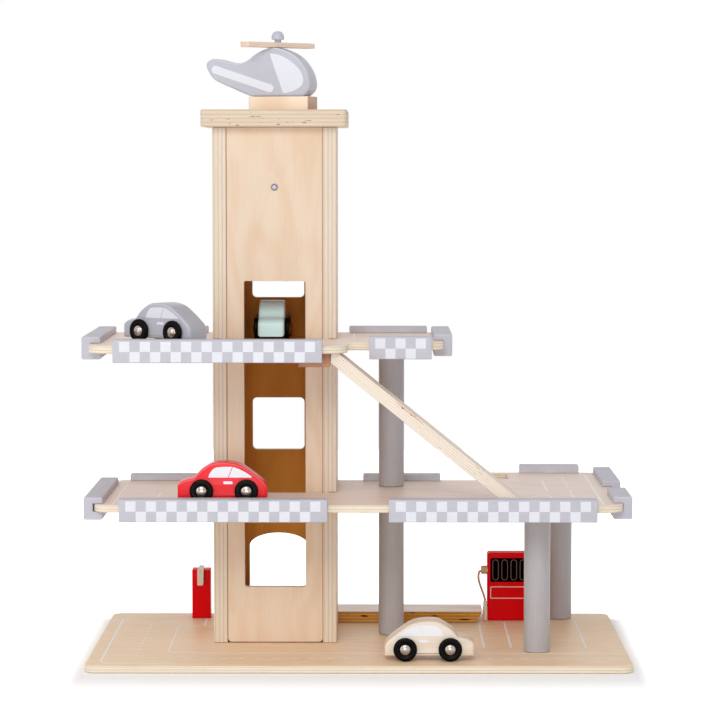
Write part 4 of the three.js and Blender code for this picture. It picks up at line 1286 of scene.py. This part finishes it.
class GARAGE_OT_columns(bpy.types.Operator):
    """Makes the turned grey columns"""

    bl_idname = "garage.columns"
    bl_label = "Columns"

    def execute(self, context):
        finish = painted("Column paint", colours().column_grey, 0.42, 0.5, 0.4, order="ZXY")
        for name, (x, y, low, high) in COLUMNS.items():
            tall = high - low
            outline = rounded([(0, 0), (COLUMN_RADIUS, 0), (COLUMN_RADIUS, tall), (0, tall)], 1.2, 4)
            finished(
                name + "_turned", turned(outline, 64), finish, at(x, y, low), name
            )
        return {"FINISHED"}


class GARAGE_OT_ramps(bpy.types.Operator):
    """Finishes the ramp between the decks, the block behind it and the loose ramp on the base"""

    bl_idname = "garage.ramps"
    bl_label = "Ramps"

    def execute(self, context):
        # The block under the ramp is reddish brown all over
        reddish_brown, grain = colours().stained_wood, tint(150, 88, 55)
        finish = birch(
            "Upper ramp wood", turn=(0, RAMP_SLOPE, 0), first=0.4, figure=0.3, voids=0.5, ply=1.3,
            face=tint(238, 220, 204), pale=tint(242, 229, 214), dark=tint(222, 200, 175),
        )
        repaint(finish, "upper_ramp")
        finish = birch("Block wood", face=reddish_brown, grain=grain, pale=reddish_brown, dark=grain, figure=0.8, ply=40)
        repaint(finish, "ramp_rest_block")
        # The loose ramp's edge plies are darker and more orange than other boards': partly their own colour,
        # partly painted shade on that front edge
        finish = birch(
            "Loose ramp wood", first=ON_BASE, figure=0.35, voids=1.0, ply=1.75, face=tint(252, 241, 232),
            pale=tint(222, 160, 62), dark=tint(150, 94, 28),
        )
        repaint(finish, "ground_ramp")
        self.marks("loose_ramp_slits", LOOSE_RAMP_SLITS, tint(62, 26, 8), LOOSE_RAMP_FRONT, "loose_ramp")
        self.marks("upper_ramp_streak", UPPER_RAMP_STREAK, tint(214, 168, 136), UPPER_RAMP_FRONT)
        self.marks("upper_ramp_knots", UPPER_RAMP_KNOTS, tint(92, 52, 34), UPPER_RAMP_FRONT - 0.03)
        return {"FINISHED"}

    def marks(self, name, marks, shown, front, body="garage"):
        """Leaf-shaped marks in the plies of a front edge."""
        outlines = []
        for x, z, long, high, slope in marks:
            turn = Matrix.Rotation(math.radians(slope), 2)
            upper = [(-long / 2, 0), (-long / 5, high / 2), (long / 4, high / 3), (long / 2, 0)]
            lower = [(long / 5, -high / 2), (-long / 4, -high / 3), (-long / 2, 0)]
            leaf = spline(upper + lower, 3)[:-1]
            outlines.append([tuple(turn @ Vector(point) + Vector((x, z))) for point in leaf])
        finish = printed(titled(name), shown, 0.7, specular=0.1)
        place = at(0, front, 0) @ STANDING
        finished(name, board(outlines, PRINT_THICKNESS), finish, place, body=body)


class GARAGE_OT_pump(bpy.types.Operator):
    """Makes the red fuel pump with its display of plain zeros and its bare plate"""

    bl_idname = "garage.pump"
    bl_label = "Fuel pump"

    def execute(self, context):
        finished(
            "fuel_pump_block", board([rectangle(*PUMP, 3, 8)], PUMP_DEPTH, 1.5, 5),
            glossy_red(), at(0, PUMP_FRONT + PUMP_DEPTH / 2, 0) @ STANDING, "fuel_pump_body",
        )
        front = at(0, PUMP_FRONT, 0) @ STANDING
        black = printed("Display print", tint(8, 1, 0), 0.35, specular=0.0)
        finished("pump_display", board([rectangle(*DISPLAY, 2)], PRINT_THICKNESS), black, front)
        zeros = grown(
            loops_tree(), count=4, pitch=ZERO_PITCH, width=ZERO_WIDTH, height=ZERO_HEIGHT, line=0.75,
            relief=PRINT_THICKNESS, material=printed("Numeral print", tint(112, 96, 94)),
        )
        x, z = FIRST_ZERO
        place = at(x, PUMP_FRONT - PRINT_THICKNESS / 2, z)
        finished("pump_zeros", zeros, None, place @ STANDING)
        left, bottom, right, top = PLATE
        line = PLATE_LINE
        inside = rectangle(left + line, bottom + line, right - line, top - line, 0.6, 4)
        finished(
            "pump_plate_line", board([rectangle(*PLATE, 1.2, 4), inside], PRINT_THICKNESS),
            printed("Plate print", tint(250, 212, 208)), front,
        )
        return {"FINISHED"}


def glossy_red():
    return painted("Pump paint", colours().red, 0.34, 0.12, 0.0, order="ZXY", coat=0.1, specular=0.03)


class GARAGE_OT_barrier(bpy.types.Operator):
    """Makes the barrier: its slotted red post, its arm and its pin"""

    bl_idname = "garage.barrier"
    bl_label = "Barrier"

    def execute(self, context):
        half, slot = POST_WIDTH / 2, POST_SLOT_WIDTH / 2
        floor = POST_HEIGHT - POST_SLOT_DEPTH
        outline = [(-half, 0), (half, 0), (half, POST_HEIGHT), (slot, POST_HEIGHT), (slot, floor)]
        outline += [(-slot, floor), (-slot, POST_HEIGHT), (-half, POST_HEIGHT)]
        finished(
            "barrier_post_block", board([outline], POST_DEPTH, 1.2, 4), glossy_red(),
            at(POST_X, PIVOT[1], ON_BASE) @ STANDING, "barrier_post",
        )
        half = ARM_HEIGHT / 2
        arm = arc(0, 0, half, 90, 270, 20)
        arm += corner(ARM_REACH, -half, 2, 270, 5) + corner(ARM_REACH, half, 2, 0, 5)
        finish = birch(
            "Arm wood", "YZX", face=tint(255, 248, 240), grain=tint(240, 224, 208), figure=0.3, ply=8,
            first=POST_X - ARM_THICKNESS / 2, pale=tint(242, 232, 222), dark=tint(230, 212, 194),
        )
        finished(
            "barrier_arm_wood", board([arm, circle(2.35, 20)], ARM_THICKNESS, 0.5, 3), finish,
            at(*PIVOT, -90) @ STANDING, "barrier_arm",
        )
        pin = rounded([(0, 0), (2, 0), (2, PIN_LENGTH), (0, PIN_LENGTH)], 0.5, 3)
        finished(
            "barrier_pin_steel", turned(pin, 28), metal("Steel", colours().steel),
            at(PIVOT[0] - PIN_LENGTH / 2, PIVOT[1], PIVOT[2]) @ TO_THE_RIGHT, "barrier_pivot_pin",
        )
        return {"FINISHED"}


class GARAGE_OT_lift(bpy.types.Operator):
    """Finishes the lift's cabin and makes its cord with the knot under the cabin's top"""

    bl_idname = "garage.lift"
    bl_label = "Lift"

    def execute(self, context):
        # Both faces of the cabin's boards take painted shade, for the shade inside the tower
        flat = birch("Cabin board plywood", figure=0.4, first=CABIN_FLOOR, shaded_inside=2)
        walls = birch("Cabin side plywood", "ZYX", figure=0.4, first=TOWER_X, shaded_inside=2)
        repaint(flat, "lift_floor", "lift_top")
        repaint(walls, "lift_left_side", "lift_right_side")
        white = twisted_cord("Lift cord", colours().cord_white)
        rings = 60
        levels = [AXLE_LEVEL + (KNOT_LEVEL - AXLE_LEVEL) * i / rings for i in range(rings + 1)]
        cord = tube([(CORD_X, TOWER_Y, level) for level in levels], sizes().cord_thickness / MM / 2)
        cord.name = "lift_cord_strand"
        cord.transform(Matrix.Scale(MM, 4))
        smoothed(cord, 50)
        cord.materials.append(white)
        piece = put("lift_cord_strand", cord)
        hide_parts("lift_cord")
        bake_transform(piece)
        trefoil = []
        for a in (2 * math.pi * i / 72 for i in range(73)):
            x, y = math.sin(a) + 2 * math.sin(2 * a), math.cos(a) - 2 * math.cos(2 * a)
            trefoil.append((0.55 * x, 0.55 * y, -0.5 * math.sin(3 * a)))
        place = at(CORD_X, TOWER_Y, KNOT_LEVEL)
        finished("lift_cord_knot", tube(trefoil, 0.8, 10), white, place, body="lift")
        return {"FINISHED"}


class GARAGE_OT_winding_gear(bpy.types.Operator):
    """Makes the axle with its flanged drum, the turns of cord on it, its screw and the red crank"""

    bl_idname = "garage.winding_gear"
    bl_label = "Winding gear"

    def execute(self, context):
        paint = colours()
        drum = TOWER_Y - AXLE_FRONT - DRUM_WIDTH / 2
        body = CRANK_FRONT - CRANK_PLAY - AXLE_FRONT
        hole, depth = SCREW_HOLE
        profile = [(0, depth), (hole, depth), (hole, 0), (SHAFT_RADIUS - 0.6, 0), (SHAFT_RADIUS, 0.6)]
        profile += self.flange(drum - FLANGE_WIDTH, SHAFT_RADIUS, DRUM_RADIUS)
        profile += self.flange(drum + DRUM_WIDTH, DRUM_RADIUS, SHAFT_RADIUS)
        profile += [
            (SHAFT_RADIUS, body), (4.5, body), (4.5, body + 7.9), (4.1, body + 8.3), (0, body + 8.3),
        ]
        finished(
            "lift_axle_turned", turned(profile),
            birch("Axle wood", "YXZ", face=paint.pale_wood, figure=0.3, ply=60, first=470),
            at(TOWER_X, AXLE_FRONT, AXLE_LEVEL) @ TO_THE_BACK, "lift_axle",
        )
        radius = sizes().cord_thickness / MM / 2
        turns = sizes().cord_turns
        coil = grown(
            winding_tree(), turns=float(turns), radius=DRUM_RADIUS + radius, width=2.15 * radius * turns,
            thickness=2 * radius, material=painted("Wound cord", paint.cord_white, 0.8, 0.6, 0.2),
        )
        place = at(TOWER_X, TOWER_Y, AXLE_LEVEL) @ TO_THE_BACK
        finished("drum_cord_turns", coil, None, place, body="crank")
        head = [
            (0, -1.8), (0.9, -1.76), (1.9, -1.6), (2.8, -1.2), (3.4, -0.7), (3.75, -0.12), (3.7, 0),
            (1.8, 0), (1.8, 23.5), (0, 24.5),
        ]
        screw = turned(head, 40)
        screw.materials.append(metal("Steel", paint.steel))
        place = at(TOWER_X, SCREW_SEAT, AXLE_LEVEL) @ TO_THE_BACK
        finished("axle_screw_steel", self.crossed(screw), None, place, "axle_screw")
        red = painted("Crank paint", paint.red, 0.32, 0.12, 0.0, order="ZXY", coat=0.25, specular=0.15)
        arm = arc(0, 0, CRANK_END, 0, 180, 20) + arc(0, -CRANK_THROW, CRANK_END, 180, 360, 20)
        place = at(TOWER_X, CRANK_Y, AXLE_LEVEL) @ STANDING
        crank = board([arm, circle(4.85, 32)], CRANK_THICKNESS, 1, 4)
        finished("crank_arm", crank, red, place, "crank_handle")
        knob = [
            (0, 0), (5.5, 0), (5.5, 6.6), (5.9, 7.4), (6.9, 8.6), (7.4, 10), (7.5, 11.5), (7.5, 30.5),
            (7.3, 31.8), (6.7, 33), (5.6, 33.8), (4.4, 34), (0, 34),
        ]
        place = at(TOWER_X, CRANK_Y, AXLE_LEVEL - CRANK_THROW) @ TO_THE_BACK
        finished("crank_knob", turned(knob, 48), red, place, body="crank")
        return {"FINISHED"}

    def flange(self, start, before, after):
        """A flange of the drum, from the radius before it to the one after it."""
        easing, radius, end = 0.8, FLANGE_RADIUS, start + FLANGE_WIDTH
        rim = [(radius - easing, start), (radius, start + easing), (radius, end - easing)]
        return [(before, start), *rim, (radius - easing, end), (after, end)]

    def crossed(self, screw):
        """The screw with a cross recess cut in its head; the cutter carries a dark steel for the recess
        walls, painted shade.
        """
        sides = ((4.6, 0.95), (0.95, 4.6))
        bars = joined([board([centred(long, wide, 0.2, 2)], 2.4) for long, wide in sides])
        # Painted shade: dark steel for the walls of the recess
        bars.materials.append(metal("Painted recess shade", tint(38, 37, 40), 0.6))
        cross = put("cross", bars)
        cross.location = (0, 0, -2.0)
        holder = put("screw", screw)
        cut = holder.modifiers.new("recess", "BOOLEAN")
        cut.operation = "DIFFERENCE"
        cut.solver = "EXACT"
        cut.use_self = True
        cut.object = cross
        made = plain_mesh(holder)
        bpy.data.objects.remove(cross)
        return made


class GARAGE_OT_helicopter(bpy.types.Operator):
    """Makes the helicopter with its stand, rotor and peg"""

    bl_idname = "garage.helicopter"
    bl_label = "Helicopter"

    def execute(self, context):
        grey = colours().helicopter_grey
        own = at(*HELI_PLACE, HELI_YAW)
        turn = (0, 0, HELI_YAW)
        finish = birch(
            "Stand wood", "YZX", turn=turn, face=tint(208, 172, 146), grain=tint(182, 142, 112),
            pale=tint(251, 232, 209), dark=tint(238, 211, 182), figure=0.4, voids=0.0, ply=60,
        )
        long, wide, thick = STAND
        finished(
            "helicopter_stand_wood", board([centred(long, wide, 2, 6)], thick, 1, 3), finish,
            own @ at(STAND_AHEAD, 0, thick / 2), "helicopter_stand",
        )
        outline = spline([(x * HELI_LENGTH, z * HELI_HEIGHT) for x, z in HELI_OUTLINE], 8)
        start = Matrix.Translation((-HELI_LENGTH / 2, 0, STAND_TOP))
        # Paler edges: painted wear, and a painted highlight along the upper rounded edges
        finish = painted(
            "Helicopter paint", grey, 0.42, 0.2, 0.6, worn=tint(232, 232, 236), order="XZY", turn=turn,
            coat=0.3, rim=0.8,
        )
        finished(
            "helicopter_body_paint", board([outline], HELI_WIDTH, 2.6, 6), finish,
            own @ start @ STANDING, "helicopter_body", sharp=45,
        )
        along = HELI_STRIPE[1] - HELI_STRIPE[0]
        middle = (HELI_STRIPE[1] + HELI_STRIPE[0]) / 2
        lean = Matrix.Rotation(math.atan2(along.y, along.x), 2)
        bar = centred(along.length + STRIPE_WIDTH, STRIPE_WIDTH, 4.3, 10)
        bar = [tuple(middle + lean @ Vector(p)) for p in bar]
        prints = side_prints((spline(HELI_WINDOW, 6), bar), HELI_WIDTH, start)
        white = printed("Window print", tint(229, 232, 241), 0.4)
        finished("helicopter_prints", prints, white, own, body=body_of("helicopter_body"))
        peg = own @ at(ROTOR_PEG_X, 0, STAND_TOP + HELI_HEIGHT)
        finish = birch(
            "Rotor wood", turn=(0, 0, ROTOR_YAW), face=tint(238, 214, 200), grain=tint(214, 178, 156),
            pale=tint(236, 210, 190), dark=tint(214, 178, 150), figure=0.3, ply=12,
        )
        long, wide, thick = ROTOR
        finished(
            "rotor_blades_wood", board([centred(long, wide, 2.4, 6), circle(4.05, 32)], thick, 0.8, 3),
            finish, peg @ at(0, 0, ROTOR_PLAY + thick / 2, ROTOR_YAW - HELI_YAW), "helicopter_rotor",
        )
        stem = PEG_DEPTH + ROTOR_PLAY + thick + 3.2
        knob = [(6.6, 0), (7, 2), (6.6, 5), (4.8, 8), (2.4, 9.2), (0, 9.4)]
        profile = rounded([(0, 0), (3.7, 0), (3.7, stem), (6.6, stem)], 0.3, 2)
        profile += spline([(radius, stem + rise) for radius, rise in knob], 5)
        finished(
            "rotor_peg_turned", turned(profile, 48),
            painted("Peg paint", grey, 0.4, 0.2, 0.4, order="ZXY", coat=0.5),
            peg @ at(0, 0, -PEG_DEPTH), "rotor_peg",
        )
        return {"FINISHED"}


class GARAGE_OT_cars(bpy.types.Operator):
    """Makes the four cars with their printed windows, their handles and their wheels"""

    bl_idname = "garage.cars"
    bl_label = "Cars"

    def paint(self, name, yaw):
        paint = colours()
        if name == "wood_car":
            return birch(
                "Car wood", "XZY", face=paint.pale_wood, grain=tint(224, 200, 172), pale=paint.pale_wood,
                dark=tint(226, 202, 176), figure=0.35, voids=0.0, ply=60, first=-160,
            )
        shown = {"red_car": paint.car_red, "grey_car": paint.car_grey, "mint_car": paint.mint}[name]
        # A painted highlight runs along the bodies' upper rounded edges
        return painted(
            titled(name) + " paint", shown, 0.32, 0.15, 0.0, order="XZY", turn=(0, 0, yaw), coat=0.2,
            specular=0.15, rim=0.5,
        )

    def profiles(self):
        """Tyre and hub of one wheel, turned about Z, its outer face at the car's full width."""
        outer = CAR_OVER_WHEELS / 2 - HUB_RISE
        inner = CAR_WIDTH / 2 + WHEEL_PLAY
        wide, bore = WHEEL_RADIUS, ROD_RADIUS
        tyre = [
            (bore, inner), (wide - 1.6, inner), (wide - 0.5, inner + 0.5), (wide, inner + 1.6),
            (wide, outer - 1.6), (wide - 0.25, outer - 0.7), (wide - 0.8, outer - 0.2), (wide - 1.8, outer),
            (8.4, outer - 0.25), (6.6, outer - 0.5), (5.9, outer - 0.9), (5.6, outer - 2), (bore, outer - 2),
            (bore, inner),
        ]
        hub = [(0, outer - 1.9), (5.5, outer - 1.9), (5.85, outer - 0.8)]
        dome = [(5.85, -0.7), (5.2, 0.3), (3.6, 1.1), (1.8, 1.5), (0, HUB_RISE)]
        return tyre, hub + spline([(radius, outer + rise) for radius, rise in dome], 4)

    def pair(self, profile):
        """The same wheel's part on both sides of a car."""
        meshes = [turned(profile), turned(profile)]
        meshes[0].transform(STANDING)
        meshes[1].transform(TO_THE_BACK)
        return meshes

    def execute(self, context):
        paint = colours()
        black = painted("Wheel paint", paint.wheel_black, 0.3, 0.1, 0.0, coat=0.1, specular=0.05)
        bronze = metal("Hub metal", paint.hub_bronze, 0.14)
        outline = [(0, 0), (CAR_LENGTH, 0)]
        outline += spline([(x * CAR_LENGTH, z * CAR_HEIGHT) for x, z in CAR_OUTLINE], 7)
        bores = [circle(2.85, 20, x, WHEEL_RADIUS - CAR_GAP) for x in AXLES.values()]
        start = Matrix.Translation((-CAR_LENGTH / 2, 0, CAR_GAP))
        tyre, hub = self.profiles()
        for name, (x, y, level, yaw) in CARS.items():
            own = at(x, y, level, yaw)
            finished(
                name + "_body_paint", board([outline, *bores], CAR_WIDTH, 3.2, 7), self.paint(name, yaw),
                own @ start @ STANDING, name + "_body", sharp=40,
            )
            shown = tint(222, 223, 231) if name == "grey_car" else paint.window_white
            white = printed("Window print " + name, shown, 0.4)
            handle = rectangle(*DOOR_HANDLE, 1.6, 5)
            prints = side_prints((FRONT_WINDOW, REAR_WINDOW, handle), CAR_WIDTH, start)
            finished(name + "_prints", prints, white, own, body=body_of(name + "_body"))
            for end, along in AXLES.items():
                node = f"{name}_{end}_wheels"
                place = own @ at(along - CAR_LENGTH / 2, 0, WHEEL_RADIUS)
                reach, radius = ROD_REACH, ROD_RADIUS
                rod = turned([(0, -reach), (radius, -reach), (radius, reach), (0, reach)], 24)
                rod.transform(STANDING)
                finished(node + "_tyres", joined(self.pair(tyre)), black, place, node)
                hubs = joined([*self.pair(hub), rod])
                finished(node + "_hubs", hubs, bronze, place, body=body_of(node))
        return {"FINISHED"}


class GARAGE_OT_road_prints(bpy.types.Operator):
    """Prints the road lines and the dashes on the base and the decks"""

    bl_idname = "garage.road_prints"
    bl_label = "Road prints"

    def execute(self, context):
        wide = sizes().line_width / MM
        base, deck = BASE_THICKNESS, LOWER_LEVEL
        outer = [(-196, -151), *arc(-258, -137, 14, 270, 180), *arc(-258, 118, 14, 180, 90), (-196, 132)]
        inner = [(277, -91), *arc(-193, -78, 12, 270, 180), *arc(-193, 64, 12, 180, 90), (-160, 76)]
        lines = [stripe(outer, wide), stripe(inner, wide), stripe([(-176, 80), (-176, 124)], wide)]
        for x in (135, 164.2, 245.3):
            lines.append(stripe([(x, 104), (x, 27)], wide))
            lines.append(stripe([(x, 22), (x, -57)], wide))
        road_print("base_road_lines", lines, base)
        dash_row("base_front_dashes", -219, -122, 27, 0, base)
        dash_row("base_left_dashes", -237, -108, 12, 90, base)
        dash_row("base_back_dash", -220, 106, 1, 0, base, dash=18)
        lines = [
            stripe([(257, 128), (257, -130)], wide),
            stripe([(205, 78), (205, -16)], wide),
            stripe([(230, -14), (230, -72)], wide * 0.7),
            stripe([(184, -72), (192, -60), (201, -53), (205, -60), (206, -72)], wide * 0.6),
            stripe([(-259, 60), (-259, -130)], wide * 0.7),
            stripe([(-216, -32), (-216, -80)], wide * 0.7),
        ]
        road_print("deck_road_lines", lines, deck)
        dash_row("deck_dots", 230, 20, 7, 90, deck, dash=6, pitch=14)
        road_print("upper_deck_line", [stripe([(-6.3, 62), (-6.3, -10)], wide * 0.7)], UPPER_LEVEL)
        return {"FINISHED"}


class GARAGE_PT_pieces(bpy.types.Panel):
    """Lists the garage's pieces, its sizes and its colours"""

    bl_idname = "GARAGE_PT_pieces"
    bl_label = "Toy garage"
    bl_space_type = "VIEW_3D"
    bl_region_type = "UI"
    bl_category = "Garage"

    def draw(self, context):
        for operator in OPERATORS:
            self.layout.operator(operator.bl_idname)
        for title, group in (("Sizes", sizes()), ("Colours", colours())):
            box = self.layout.box()
            box.label(text=title)
            for name in type(group).__annotations__:
                box.prop(group, name)


OPERATORS = (
    GARAGE_OT_stage,
    GARAGE_OT_hose,
    GARAGE_OT_base,
    GARAGE_OT_decks,
    GARAGE_OT_tower,
    GARAGE_OT_rails,
    GARAGE_OT_columns,
    GARAGE_OT_ramps,
    GARAGE_OT_pump,
    GARAGE_OT_barrier,
    GARAGE_OT_lift,
    GARAGE_OT_winding_gear,
    GARAGE_OT_helicopter,
    GARAGE_OT_cars,
    GARAGE_OT_road_prints,
)
CLASSES = (GarageSizes, GarageColours, *OPERATORS, GARAGE_PT_pieces)


def register():
    for made in CLASSES:
        bpy.utils.register_class(made)
    bpy.types.Scene.garage_sizes = PointerProperty(type=GarageSizes)
    bpy.types.Scene.garage_colours = PointerProperty(type=GarageColours)


def unregister():
    del bpy.types.Scene.garage_colours
    del bpy.types.Scene.garage_sizes
    for made in reversed(CLASSES):
        bpy.utils.unregister_class(made)


def main():
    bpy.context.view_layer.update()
    register()
    for operator in OPERATORS:
        family, name = operator.bl_idname.split(".")
        getattr(getattr(bpy.ops, family), name)()


if __name__ == "__main__":
    main()
